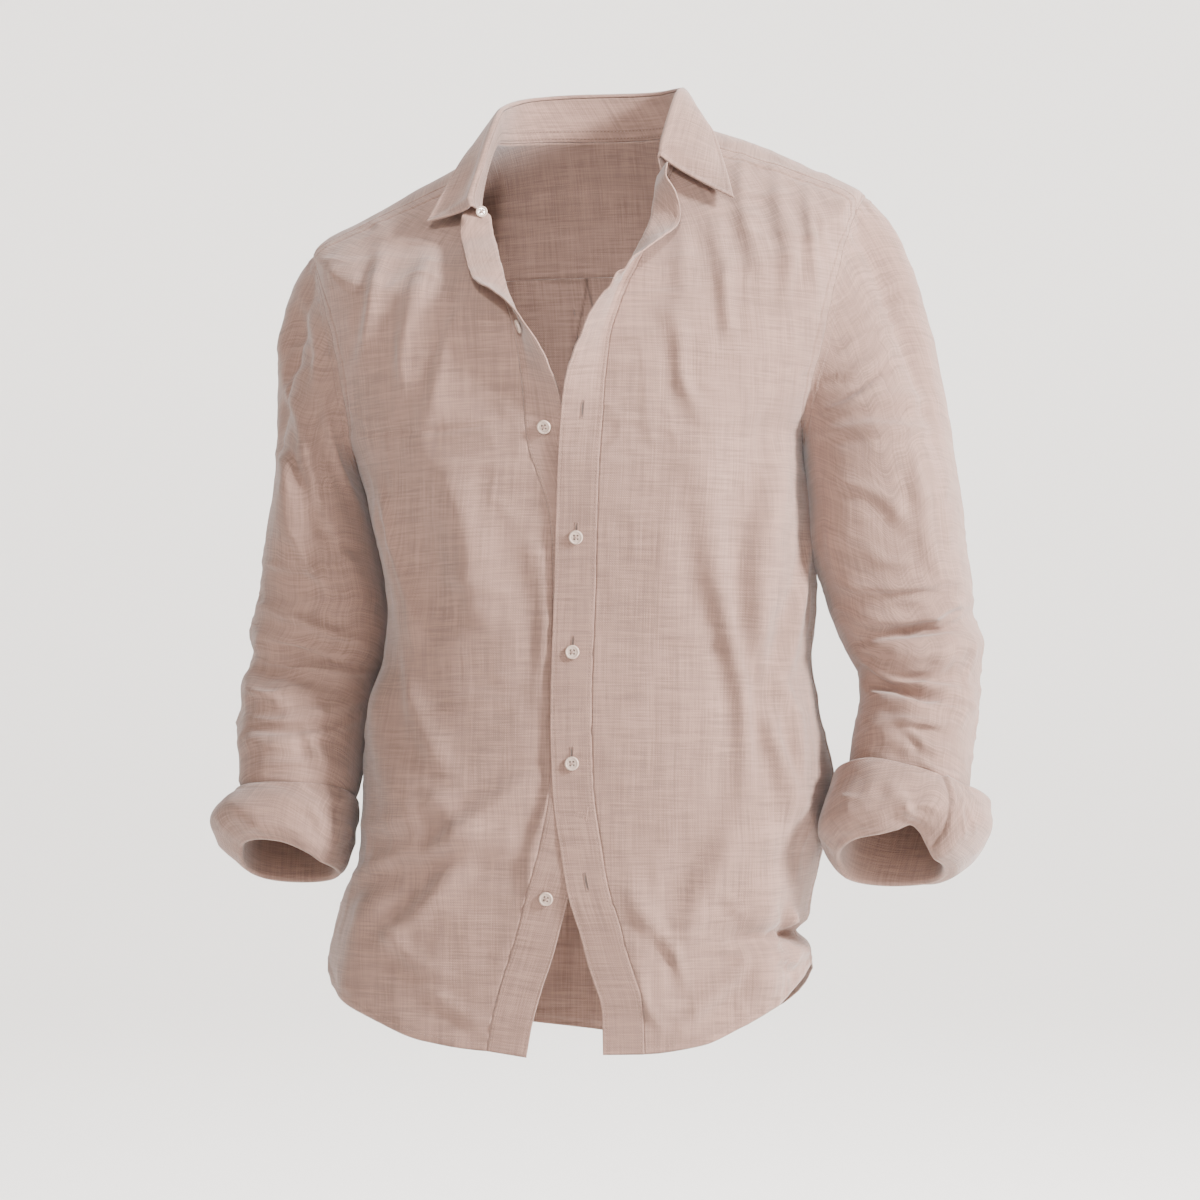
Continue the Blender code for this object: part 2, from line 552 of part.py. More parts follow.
def mesh_object(name, grid, wall, colour, closed=False, outward=True):
    """Grid of points as an open surface, thickened inward."""
    points = (np.asarray(grid) - NECK_REST) * MM
    rows, cols = points.shape[:2]
    index = np.arange(rows * cols).reshape(rows, cols)
    right = np.roll(index, -1, axis=1)
    span = cols if closed else cols - 1
    quads = np.stack([index[:-1, :span], right[:-1, :span], right[1:, :span], index[1:, :span]], -1)
    quads = quads.reshape(-1, 4)
    if not outward:
        quads = quads[:, ::-1]
    mesh = bpy.data.meshes.new(name)
    mesh.from_pydata(points.reshape(-1, 3).tolist(), [], quads.tolist())
    mesh.update()
    mesh.shade_smooth()
    obj = bpy.data.objects.new(name, mesh)
    SHIRT.objects.link(obj)
    solid = obj.modifiers.new("wall", "SOLIDIFY")
    solid.thickness = wall * MM
    solid.offset = -1.0
    mesh.materials.append(finish(name, colour, 0.9))
    return obj


def finish(name, colour, roughness):
    """Principled material with one colour and roughness."""
    material = bpy.data.materials.new(name)
    material.use_nodes = True
    shader = material.node_tree.nodes["Principled BSDF"]
    shader.inputs["Base Color"].default_value = (*colour, 1)
    shader.inputs["Roughness"].default_value = roughness
    shader.inputs["Metallic"].default_value = 0.0
    return material


def clear_scene():
    """Remove every object that the file opened with."""
    for obj in list(bpy.data.objects):
        bpy.data.objects.remove(obj, do_unlink=True)


clear_scene()
SHIRT = bpy.data.collections.new("linen_shirt")
bpy.context.scene.collection.children.link(SHIRT)

BANDS = {}
for hand, word in ((-1, "right"), (1, "left")):
    area = front_domain(hand)
    panel = front_surface(hand, area)
    BANDS[word] = band_surface(hand, panel, area)
    mesh_object("front_" + word, trim(panel, ("start", "end", "top")), CLOTH, LINEN,
                outward=hand > 0)
    mesh_object("band_" + word, trim(BANDS[word], ("start", "top")), DOUBLE, LINEN,
                outward=hand < 0)
    sleeve = sleeve_surface(hand)
    mesh_object("sleeve_%s_upper" % word, trim(sleeve[:ELBOW_ROW], ("bottom", "top")), CLOTH, LINEN,
                closed=True, outward=hand > 0)
    mesh_object("sleeve_%s_lower" % word, trim(sleeve[ELBOW_ROW - 1:], ("bottom",)), CLOTH, LINEN,
                closed=True, outward=hand > 0)
    mesh_object("cuff_" + word, cuff_surface(hand), DOUBLE, LINEN, closed=True, outward=hand > 0)

area = back_domain()
mesh_object("back", trim(torso(area[..., 0], area[..., 1]), ("start", "end", "top")), CLOTH, LINEN)
area = yoke_domain()
mesh_object("yoke", trim(torso(area[..., 0], area[..., 1]), ("start", "end", "top", "bottom")),
            CLOTH, LINEN)
mesh_object("collar_stand", trim(stand_surface(), ("start", "end"), COLLAR_INSET), DOUBLE, LINEN,
            outward=False)
mesh_object("collar_leaf", trim(leaf_surface(), ("start", "end"), COLLAR_INSET), DOUBLE, LINEN)

button("button_1", np.array(STAND_BUTTON), unit(np.array(STAND_BUTTON_OUT)), STAND_BUTTON_R, SEAM)
for number, (word, height, gap) in enumerate(BUTTONS, 2):
    spot, out = band_place(BANDS[word], height)
    button("button_%d" % number, spot, out, BUTTON_R, gap)
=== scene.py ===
"""Looks of a man's linen shirt, worn open at the neck, with both sleeves rolled.

Every cloth piece is a fine surface on the form of its solid. Its tables are in millimetres and
degrees, from a point on the figure's own axis at the waist, and the finished meshes are in metres
from the collar's resting place. Creases, hems, seams, stitching, buttonholes and buttons are added.
"""
import math

import bpy
import numpy as np
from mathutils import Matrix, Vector


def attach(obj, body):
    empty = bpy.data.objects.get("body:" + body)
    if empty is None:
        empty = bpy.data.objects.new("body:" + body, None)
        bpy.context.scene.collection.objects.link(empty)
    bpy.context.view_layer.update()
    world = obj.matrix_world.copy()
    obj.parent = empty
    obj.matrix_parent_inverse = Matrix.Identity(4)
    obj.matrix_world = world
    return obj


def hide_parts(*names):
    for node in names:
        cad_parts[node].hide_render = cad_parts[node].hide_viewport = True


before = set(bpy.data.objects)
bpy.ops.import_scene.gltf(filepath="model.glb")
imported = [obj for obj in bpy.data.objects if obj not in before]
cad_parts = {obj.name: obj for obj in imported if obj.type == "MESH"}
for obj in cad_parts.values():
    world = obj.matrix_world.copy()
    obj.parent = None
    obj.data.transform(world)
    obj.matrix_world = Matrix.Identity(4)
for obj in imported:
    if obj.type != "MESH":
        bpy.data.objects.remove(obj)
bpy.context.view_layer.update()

MM = 0.001                     # metres in a table unit
NECK_REST = np.array([-4.0, 55.0, 385.0])    # where the collar rests on the back of the neck
SINGLE = 0.8                   # one layer of linen
DOUBLE = 1.3                   # a folded and stitched layer
CUFF_WALL, LEAF_WALL = 0.9, 1.5              # the turned-back cuffs and the collar's leaf
UP = np.array([0.0, 0.0, 1.0])
VIEW_TURN = math.radians(8.0)  # the camera stands this far toward the wearer's left
VIEW_FAR = 3200.0              # and this far from the figure's axis
VIEW_WIDE = 1.0                # metres across the picture at the figure's axis
SENSOR = 36.0                  # millimetres across the camera's sensor

BAND = 33.5                    # width of the two front bands
LAP, LAP_RUN = 3.6, 90.0       # how far the right front lies inside the left one, and how wide this is
PLEAT_X, PLEAT_HALF = -28.0, 17.0            # centre and half width of the back's box pleat
PLEAT_RISE, PLEAT_OPENS = 5.0, 45.0          # its height, and where it is reached below the yoke
PLEAT_EDGE = 13.0              # half width between the pleat's folds once they have opened
PLEAT_RUN = 80.0               # below the yoke, where they have opened fully
PLEAT_END, PLEAT_FADE = 420.0, 200.0         # where they end, and how long they take to close
PLEAT_SPAN = (0.46, 0.61)      # share of the back's width that the pleat lies in

# Sections of the body. Level is the height at the centre front. Right and left are the wearer's.
# level  centre  right  left  side_y  front  back  right_z  left_z  back_z  rise
TORSO = np.array([
    (-400, -6, -232, 178, 0, -113, 122, -400, -400, -400, 2.0),
    (-307, -6, -229, 176, 0, -115, 124, -307, -307, -307, 2.0),
    (-257, -6, -219, 176, 0, -118, 125, -257, -257, -257, 2.0),
    (-218, -6, -203, 184, 0, -120, 125, -218, -218, -218, 2.0),
    (-154, -6, -199, 195, 0, -122, 124, -154, -154, -154, 2.0),
    (-89, -5, -195, 182, 0, -121, 118, -89, -89, -89, 2.0),
    (-45, -5, -181, 176, 0, -119, 112, -46, -44, -45, 2.0),
    (0, -4, -177, 182, 0, -120, 111, -2, 2, 0, 2.0),
    (60, -1, -189, 180, 0, -124, 117, 55, 65, 62, 2.0),
    (125, 3, -204, 173, 2, -128, 125, 113, 133, 130, 2.0),
    (155, 3, -219, 193, 3, -127, 127, 152, 177, 168, 2.0),
    (185, 3, -232, 211, 4, -125, 127, 205, 236, 212, 2.0),
    (212, 1, -239, 218, 5, -120, 123, 256, 297, 255, 2.1),
    (235, -1, -241, 220, 5, -112, 115, 291, 332, 291, 2.3),
    (258, -2, -196, 176, 5, -103, 104, 322, 357, 322, 2.7),
    (280, -3, -138, 124, 4, -93, 88, 354, 380, 356, 3.3),
    (300, -4, -84, 75, 2, -82, 64, 383, 396, 389, 4.0)])
SQUARE = 0.12                  # how much fuller than an ellipse a section is at its corners
LOWEST, NECK = -400.0, 300.0   # levels of the table's ends, the last at the neck seam

ARMPIT, TIP = 125.0, 235.0     # levels of the armhole's lowest and highest points
ARM_SWING = 27.0               # degrees that it reaches toward the front and the back
FRONT_CORNER, BACK_CORNER = 30.0, 300.0     # where the yoke's seams meet the armhole
YOKE_SIDE = 72.0               # angle where the yoke's front seams meet the neck
YOKE_DROP = 226.0              # level of its back seam at the centre
LOW_LEVELS = np.array([-300, -268, -236, -204, -172, -140, -108, -76, -44, -12, 20, 54, 90, 125.0])
AROUND_STEP = 15.0             # degrees round the armhole in a row
SIDE_ROWS, YOKE_ROWS, YOKE_COLS = 13.0, 9.0, 20.0    # rows of a panel along its side seam and the yoke

# Rows and columns of each piece's surface.
FRONT_ROWS, FRONT_COLS, BAND_COLS = 216, 112, 30
BACK_ROWS, BACK_COLS, PLEAT_COLS = 210, 118, 60
YOKE_RINGS, YOKE_ROUND = 66, 190
CAP_ROWS, SLEEVE_ROWS, SLEEVE_COLS = 66, 132, 132
CUFF_INNER_ROWS, CUFF_ROWS, CUFF_COLS = 26, 58, 264
STAND_ROWS, LEAF_ROWS, COLLAR_COLS = 34, 40, 190

# The hem of the shirt tail: angle from the centre front, and level.
HEM = np.array([(0, -360), (15, -365), (30, -359), (45, -343), (60, -327), (75, -311), (90, -300),
                (110, -320), (135, -350), (180, -373)], float)

# Where each front's edge meets its band: height and distance across.
LEFT_EDGE = np.array([
    (-380, 52), (-340, 51), (-321, 50), (-304, 45), (-283, 38), (-258, 32), (-237, 25), (-219, 21),
    (-197, 18), (-179, 15), (-155, 12), (-90, 10), (-41, 11), (6, 13), (62, 15), (124, 18), (150, 20),
    (171, 21), (192, 23), (212, 25), (233, 30), (255, 37), (269, 43), (291, 51), (309, 56), (336, 59.5),
    (350, 61)], float)
RIGHT_EDGE = np.array([
    (-380, -80), (-345, -75), (-307, -65), (-278, -55), (-238, -44), (-200, -33), (-150, -24),
    (-100, -22), (40, -22), (70, -25), (100, -34), (124, -42), (140, -44), (182, -48), (224, -56),
    (245, -64), (278, -75), (300, -84), (315, -89), (330, -93)], float)
EDGE_LIMIT = 60.0              # degrees from the front within which both edges lie
# How far each band has turned outward: height and angle.
LEFT_ROLL = np.array([
    (-400, 0), (100, 0), (124, 4), (150, 12), (171, 28), (192, 47), (212, 68), (235, 90), (252, 102),
    (270, 120), (287, 144), (305, 166), (318, 146), (330, 116)], float)
RIGHT_ROLL = np.array([
    (-400, 0), (120, 0), (139, 8), (160, 20), (182, 40), (205, 65), (224, 92), (245, 130), (262, 160),
    (278, 170), (292, 168), (303, 148), (314, 124), (330, 100)], float)
BAND_TOP = 12.0                # how far the bands run on past the fronts, under the collar
ROLL_RUN = 11.0                # how far across a band its turn takes
BAND_TURN = 9.5                # degrees round the body that show a band's way

# The right front has slipped off the neck's side: shift, and where it is felt.
FALL = np.array([-20.0, 2.0, -20.0])
FALL_ANGLE, FALL_SPREAD, FALL_FROM = -52.0, 22.0, 205.0

# Large folds of the body: angle and height of both ends, half width, rise.
BODY_FOLDS = (
    (58, 105, 44, -60, 22, 7), (-62, 95, -50, -30, 22, 7), (66, -90, 36, -235, 24, 8),
    (-66, -70, -34, -200, 24, 7), (34, 160, 22, 20, 22, 5), (-34, 120, -22, -30, 22, 5),
    (14, -230, 18, -350, 20, 5), (50, -215, 54, -330, 22, 8), (-50, -235, -56, -340, 22, 7),
    (150, 170, 156, -120, 26, 7), (210, 180, 202, -100, 26, 7), (126, 110, 140, -60, 24, 6),
    (234, 120, 222, -50, 24, 6), (118, -110, 124, -310, 24, 8), (242, -100, 236, -310, 24, 8),
    (168, -180, 160, -350, 24, 7), (200, -200, 206, -350, 24, 6))
FOLD_SCALE = 2.6               # millimetres in a degree, where the body's folds are measured

# Sleeve sections under the armhole: height, centre, half width and half depth.
RIGHT_SLEEVE = np.array([
    (80, -239, 6, 38, 72), (45, -239, 8, 45, 69), (5, -238, 12, 53, 65), (-26, -240, 14, 56, 62),
    (-55, -247, 12, 52, 60), (-90, -253, 4, 50, 58), (-129, -255, -10, 48, 56),
    (-165, -254, -24, 46, 54), (-192, -254, -35, 41, 47), (-210, -254, -42, 38, 43)], float)
LEFT_SLEEVE = np.array([
    (80, 243, 2, 57, 73), (45, 246, 4, 58, 70), (2, 253, 10, 57, 66), (-28, 260, 12, 54, 62),
    (-58, 266, 8, 50, 58), (-90, 265, 0, 49, 56), (-122, 261, -14, 50, 55),
    (-152, 258, -26, 50, 54), (-186, 253, -39, 45, 49), (-206, 248, -47, 41, 44)], float)
# Turned-back cuffs, from the top edge down to the fold at the bottom.
RIGHT_CUFF = np.array([
    (-158, -253, -21, 50, 59), (-168, -257, -25, 55, 62), (-186, -262, -32, 58.5, 65),
    (-202, -261, -38, 55, 61), (-214, -256, -43, 48, 53), (-219, -254, -45, 42, 47)], float)
LEFT_CUFF = np.array([
    (-142, 260, -22, 62, 61), (-156, 259, -28, 64, 64), (-178, 255, -36, 67, 67),
    (-196, 250, -43, 64, 64), (-210, 247, -48, 54, 55), (-216, 246, -50, 45.5, 48.5)], float)
# How far the cloth swells toward the body: height and distance.
RIGHT_SWELL = np.array([
    (-190, 0), (-150, 7), (-110, 9), (-60, 6), (0, 5), (60, 7), (125, 4), (235, 0)], float)
LEFT_SWELL = np.array([
    (-190, 0), (-90, 0), (-30, 5), (10, 8), (50, 14), (110, 10), (150, 3), (235, 0)], float)
SLEEVE_ROUND = 380.0           # way round a sleeve
SLEEVE_SHORT = 26.0            # the sleeve's cloth ends this far up, inside the cuff
SLEEVE_LEAN = 9.0              # and this much higher in front and lower behind
CUFF_TILT = math.radians(22)   # how far a cuff's rings lean forward
CUFF_ROUND = 380.0             # way round a cuff
CUFF_REACH = 66.0              # how far the inside runs up past the sleeve's end
# How far a cuff's lower fold is lifted, by the angle round the arm from its outer side.
RIGHT_RIM = np.array([
    (0, 0), (15, 2), (34, 8), (60, 9), (90, 6.5), (123, -1.5), (144, -6), (180, -4), (210, 0),
    (360, 0)], float)
LEFT_RIM = np.array([
    (0, 0), (35, -2), (47, 6), (58, 17), (68, 22), (82, 17), (100, 13), (124, 11), (150, 8), (180, 7),
    (215, 0), (360, 0)], float)
# How far its top edge is lowered, by the same angle.
RIGHT_TOP = np.array([
    (0, -8), (45, -13), (90, -15), (135, -13), (180, -8), (230, -2), (310, -2), (360, -8)], float)
LEFT_TOP = np.array([
    (0, -23), (20, -27), (45, -28), (70, -20), (90, -14), (120, -7), (150, -6), (180, -3), (215, 0),
    (310, -4), (335, -13), (360, -23)], float)
# The fold and the top edge across the cloth: how far inward, and how far down or up.
CUFF_FOLD = ((3.4, -1.5), (3.1, 0.1), (2.2, 1.1), (1.1, 1.1), (0.35, 0.6))
CUFF_HEM = ((0.5, 0.7), (1.3, 0.8), (2.0, 0.2), (2.4, -2.0), (2.7, -14.0))
# Where the wearer's left cuff's end lies over it, as seen: height and across.
CUFF_END = np.array([(-240, 262), (-217, 271), (-207, 277), (-187, 289), (-165, 292), (-147, 286),
                     (-120, 280)], float)
# Creases of the cuffs, in the same numbers as the front's further down.
RIGHT_CUFF_CREASES = (
    (-310, -168, -262, -198, 5, 7, 1.6), (-290, -158, -214, -170, 3, 6, 1.4),
    (-240, -170, -214, -205, 3, 6, 1.6), (-318, -186, -290, -222, -3, 5, 1.4))
LEFT_CUFF_CREASES = (
    (205, -160, 216, -206, 4, 6, 1.8), (232, -150, 262, -186, -4, 7, 1.8),
    (250, -160, 280, -190, 3, 5, 1.6), (212, -180, 252, -192, 4, 5, 1.4),
    (300, -168, 302, -200, 1, 1.6, 0.9), (306, -172, 312, -196, 1, 2.0, 0.6))
# How strongly the cap leaves the armhole and meets the first ring, by the angle round the arm.
START_PULL = np.array([
    (0, 200), (45, 120), (90, 40), (180, 16), (270, 40), (315, 120), (360, 200)], float)
END_PULL = np.array([(0, 170), (90, 105), (180, 26), (270, 105), (360, 170)], float)
# Large folds of the sleeves: angle and height of both ends, half width, rise.
RIGHT_SLEEVE_FOLDS = (
    (-20, -22, 100, -36, 13, 7), (-20, -42, 120, -60, 11, -8), (0, -66, 110, -90, 13, 7),
    (-10, -104, 100, -124, 13, 6), (210, -20, 310, -40, 13, 6), (60, 130, 80, 30, 17, 6),
    (-50, 150, -70, 40, 17, 6))
LEFT_SLEEVE_FOLDS = (
    (-20, -8, 110, -26, 12, -7), (-20, -32, 130, -46, 12, 8), (10, -56, 140, -72, 11, -7),
    (0, -86, 120, -96, 12, 7), (60, 140, 140, 96, 15, 6), (-50, 140, -70, 40, 17, 6),
    (220, -34, 320, -50, 13, 7))

# The collar from the wearer's right end round the back to the left: angle round the neck, then the
# fold's place from the seam under it, and the place of the leaf's outer edge.
FOLD = np.array([
    (56, -4, -20, 10), (66, 2, -11, 20), (90, 4, -2, 27), (135, 4, -1, 35), (180, 0, -3, 37),
    (225, -3, -2, 36), (270, -8, -6, 25), (288, -9, -7, 21), (300, -8, -8, 20), (310, -3, -6, 21)], float)
LEAF = np.array([
    (56, -134, -66, 311), (66, -126, -52, 332), (90, -103, -8, 380), (135, -75, 57, 386),
    (180, -4, 78, 386), (225, 66, 57, 390), (270, 93, -12, 391), (290, 109, -44, 357),
    (310, 121, -76, 322)], float)
# The leaf's way over the stand's top: share of the way, outward and up from the fold.
LEAF_TOP = np.array([(0, -0.9, 0.6), (0.3, -0.3, 2.8), (0.62, 2.1, 3.8), (1, 4.7, 2.0)])
LEAF_BOW = (7.0, 10.0)         # how far outward and down the leaf bows

# Each button of the front: the band it is on, its height, and its gap to the cloth.
BUTTONS = (("right", 220.0, 1.3), ("right", 139.5, 1.0), ("left", 52.0, 0.4), ("left", -39.0, 0.4),
           ("left", -132.0, 0.4), ("right", -238.0, 0.4))
HOLES = (154.0, 57.0, -33.0, -126.0, -227.0)     # heights of the left band's buttonholes
# A buttonhole: half length, half width to its stitches, half width of the slit, and from bar to bar.
HOLE_HALF, HOLE_WIDE, HOLE_SLIT, HOLE_STEP = 6.5, 1.1, 0.6, 0.5
SATIN_SIDE, SATIN_END, SATIN_WIDE = 0.65, 0.6, 0.24   # half lengths and half width of a bar
SATIN_RISE, SATIN_OVER, SATIN_UNDER = 0.1, 0.35, 0.2  # its middle's rise, and from there up and down
# The collar stand's button: the cloth's place under it, and the way it faces.
STAND_BUTTON = np.array([-87.0, -75.4, 317.0])
STAND_BUTTON_OUT = np.array([0.14, -0.98, 0.1])
BUTTON_R, STAND_BUTTON_R, BUTTON_THICK = 5.75, 4.8, 2.6
HOLE_AT, HOLE_R = 0.24, 0.135  # a button's holes: how far out each way and their radius, in its radii
CORD_R = 0.26                  # half width of the thread through them

# Creases of the front as the camera sees them, on the plane through the figure's axis:
# across and height of both ends, bow of the line, half width, rise (minus for a trough).
FRONT_CREASES = (
    (-208, 142, -75, 154, 8, 2.2, -1.6), (-212, 133, -186, 33, 4, 5, 3.4),
    (-188, 100, -149, -50, -5, 6, 4.4), (-176, 60, -150, -60, 5, 8, 3.0),
    (-46, -148, -165, -231, 6, 7, 5.0), (-100, -208, -183, -300, 6, 12, 6.0),
    (-225, -254, -83, -192, -14, 9, 5.4), (-150, -150, -60, -215, 10, 11, 4.0),
    (-140, 300, -165, 170, 4, 8, 4.2), (-180, 300, -205, 190, -3, 7, 3.6),
    (-112, 250, -150, 120, 5, 7, 2.8), (-120, 110, -96, -20, 6, 11, 3.4), (-60, 60, -48, -80, -4, 9, 2.6),
    (-30, -120, -60, -260, 5, 8, 3.0), (-165, -40, -120, -160, 6, 8, 3.6),
    (-200, -190, -120, -160, 4, 6, 3.6), (-90, -60, -52, -72, 3, 5, 2.0),
    (-150, -92, -70, -84, -4, 5, 2.0), (-130, 20, -62, 8, 4, 5, 1.8), (-190, -262, -120, -322, 5, 6, 3.4),
    (-150, -320, -92, -352, 4, 6, 2.6), (117, 383, 133, 273, 3, 7, 3.4), (146, 362, 156, 248, -4, 6, 3.2),
    (94, 340, 114, 215, 3, 8, 3.0), (175, 345, 180, 252, 3, 6, 2.6), (64, 340, 80, 240, 3, 8, 2.4),
    (158, 167, 133, -83, 6, 10, 6.0), (83, 117, 121, -167, -6, 11, 6.4), (176, 60, 150, -60, -5, 5, 4.0),
    (170, 10, 140, -120, 4, 6, 4.0), (145, -61, 171, -148, -4, 5, 4.0), (60, 250, 84, 150, 4, 9, 3.2),
    (130, -90, 190, -200, 5, 9, 4.8), (110, -180, 60, -290, -8, 11, 5.0),
    (20, -240, 70, -320, -6, 7, 4.0), (44, -266, 118, -262, 5, 4, 3.0), (55, -283, 120, -295, -4, 4, 3.0),
    (67, -352, 122, -293, 6, 6, 4.0), (28, -300, 52, -358, 3, 6, 3.0), (100, -250, 150, -262, 4, 6, 3.0),
    (40, -20, 100, -30, 3, 5, 1.6), (60, 60, 130, 70, -4, 5, 1.8), (162, -258, 145, -290, -5, 4.6, 9.0),
    (147, -297, 166, -297, 3, 4.2, 6.0), (155, -281, 172, -276, 1, 4.8, -12.0))
# Hollow across the wearer's left side seam, just above the hem's corner: height and depth.
NOTCH_Z, NOTCH = -274.0, 13.0
# Creases of the back, as it is seen from behind.
BACK_CREASES = (
    (-90, 180, -110, 20, 6, 12, 5.6), (95, 190, 116, 10, -6, 12, 5.6), (-30, 60, -44, -140, 5, 11, 4.4),
    (40, 70, 50, -150, -6, 12, 4.6), (-150, 120, -176, 0, 4, 8, 4.4), (150, 130, 178, 10, -4, 8, 4.4),
    (-160, -20, -60, -60, 12, 8, 4.8), (165, -30, 70, -75, -12, 8, 4.6),
    (-150, -70, -40, -110, 10, 7, 4.0), (140, -90, 30, -120, -9, 7, 4.0),
    (-120, -160, -90, -330, 6, 12, 6.0), (110, -170, 90, -330, -6, 12, 5.6),
    (-20, -190, -4, -350, 5, 11, 4.6), (-180, 230, -120, 180, 8, 7, 3.6),
    (180, 240, 124, 186, -8, 7, 3.6), (30, -210, 50, -330, -4, 8, 3.4), (-70, -40, 60, -52, 5, 5, 2.8),
    (-100, -20, 10, -34, -6, 5, 2.6))
# Creases of the sleeves' front, as the camera sees them.
RIGHT_ARM_CREASES = (
    (-282, -36, -184, -57, 3, 3.0, -5.2), (-292, -8, -188, -42, -5, 6, 5.0),
    (-290, -52, -190, -70, -4, 7, 5.2), (-296, -98, -194, -80, 9, 4.6, 4.4),
    (-298, -116, -196, -98, 9, 4.6, 3.6), (-290, -136, -230, -128, 5, 5, 2.4),
    (-268, 134, -236, 88, 3, 6, -4.6), (-256, 172, -204, 20, 7, 5, 4.6), (-243, 84, -193, 34, 4, 7, -4.4),
    (-230, 170, -194, 56, 4, 5, 4.2), (-286, 36, -190, 18, 4, 5, 2.2), (-270, 240, -246, 150, 5, 6, 3.6),
    (-248, 262, -236, 176, -4, 5, 3.2), (-262, 60, -214, 4, 5, 6, 2.8),
    (-250, -104, -206, -150, 5, 5, 3.0), (-240, 214, -262, 190, 3, 4, 2.2),
    (-236, 196, -262, 168, 3, 4, 2.2), (-296, -70, -262, -84, 3, 4, 2.6))
LEFT_ARM_CREASES = (
    (206, -40, 290, -24, -4, 3.2, -5.4), (202, -18, 308, 0, 5, 6, 4.8), (210, -44, 304, -78, 8, 4.4, 6.0),
    (212, -60, 284, -80, 6, 4.4, -3.6), (212, -66, 278, -90, 6, 5, 3.8), (246, -96, 292, -102, 4, 4, 3.6),
    (252, -106, 290, -126, 4, 5, 3.8), (206, -96, 260, -128, -5, 6, 3.0), (270, -14, 306, -10, 3, 4, 3.2),
    (174, 162, 244, 198, 5, 5, -4.4), (176, 156, 282, 166, -4, 5, 4.6), (176, 138, 286, 141, -3, 4, 5.4),
    (203, 226, 266, 258, 4, 4, 3.0), (199, 206, 262, 235, -4, 4, 3.2), (183, 184, 250, 212, 4, 4, 3.6),
    (206, 246, 262, 276, 4, 4, 2.4), (183, 16, 303, 14, 4, 5, 3.0), (196, 104, 262, 60, -5, 7, 3.4),
    (262, 120, 284, 20, 4, 6, 3.0), (214, 44, 262, 30, 3, 5, 2.2), (262, -130, 300, -150, 3, 5, 3.0),
    (190, 70, 214, -4, 4, 6, 3.0))
# Creases of the sleeves' hidden sides: angle round the arm and height of both ends.
ARM_BACK_CREASES = (
    (200, -30, 330, -44, 6, 7, 4.6), (210, -58, 320, -74, -5, 6, 4.8), (200, -86, 330, -100, 5, 6, 4.0),
    (220, 10, 320, -8, -5, 6, 3.6), (240, 130, 290, 60, 6, 9, 3.8), (300, 190, 318, 80, -5, 9, 3.6),
    (230, -118, 330, -136, 5, 5, 3.4), (-10, -36, 60, -52, 4, 5, 3.4), (0, -96, 70, -112, 4, 5, 3.0),
    (250, 200, 262, 110, 4, 7, 3.0), (216, -42, 300, -52, 4, 3.6, -3.6))

# Colours, of linen, thread, buttons, the shade in holes, and the studio's floor.
CLOTH_COLOUR = (0.238, 0.143, 0.112)
THREAD_COLOUR = (0.29, 0.182, 0.146)
SHELL_COLOUR = (0.43, 0.318, 0.262)
HOLE_COLOUR = (0.05, 0.035, 0.03)
PALE = (0.90, 0.87, 0.84)

# Tables of both sides, by side: -1 is the wearer's right and 1 the left.
WORD = {-1: "right", 1: "left"}
EDGE = {-1: RIGHT_EDGE, 1: LEFT_EDGE}
ROLL = {-1: RIGHT_ROLL, 1: LEFT_ROLL}
SLEEVE = {-1: RIGHT_SLEEVE, 1: LEFT_SLEEVE}
SLEEVE_FOLDS = {-1: RIGHT_SLEEVE_FOLDS, 1: LEFT_SLEEVE_FOLDS}
ARM_CREASES = {-1: RIGHT_ARM_CREASES, 1: LEFT_ARM_CREASES}
SWELL = {-1: RIGHT_SWELL, 1: LEFT_SWELL}
CUFF = {-1: RIGHT_CUFF, 1: LEFT_CUFF}
CUFF_CREASES = {-1: RIGHT_CUFF_CREASES, 1: LEFT_CUFF_CREASES}
CUFF_TOP = {-1: RIGHT_TOP, 1: LEFT_TOP}
RIM = {-1: RIGHT_RIM, 1: LEFT_RIM}

# Unevenness of the cloth: kind, size in x, y and z, seed of its noise, and rise.
BODY_FINE = (("ridges", (46, 46, 17), 1, 0.5), ("ridges", (20, 20, 30), 2, 0.32),
             ("waves", (60, 60, 44), 3, 1.2))
BAND_FINE = (("ridges", (30, 30, 9), 4, 0.22),)
ELBOW_FINE = (("ridges", (34, 34, 12), 8, 1.0),)
SLEEVE_FINE = (("waves", (46, 46, 34), 9, 0.8), ("ridges", (16, 16, 22), 10, 0.25))
CUFF_FINE = (("waves", (44, 44, 30), 12, 1.1), ("ridges", (34, 34, 14), 13, 0.6))
INNER_FINE = (("waves", (24, 24, 24), 14, 0.4),)
LEAF_FINE = (("waves", (30, 30, 20), 15, 0.35),)
SCATTER = (127.1, 311.7, 74.7, 19.3, 43758.5453)     # numbers that make the noise look random


# --- Numbers -------------------------------------------------------------------------------------

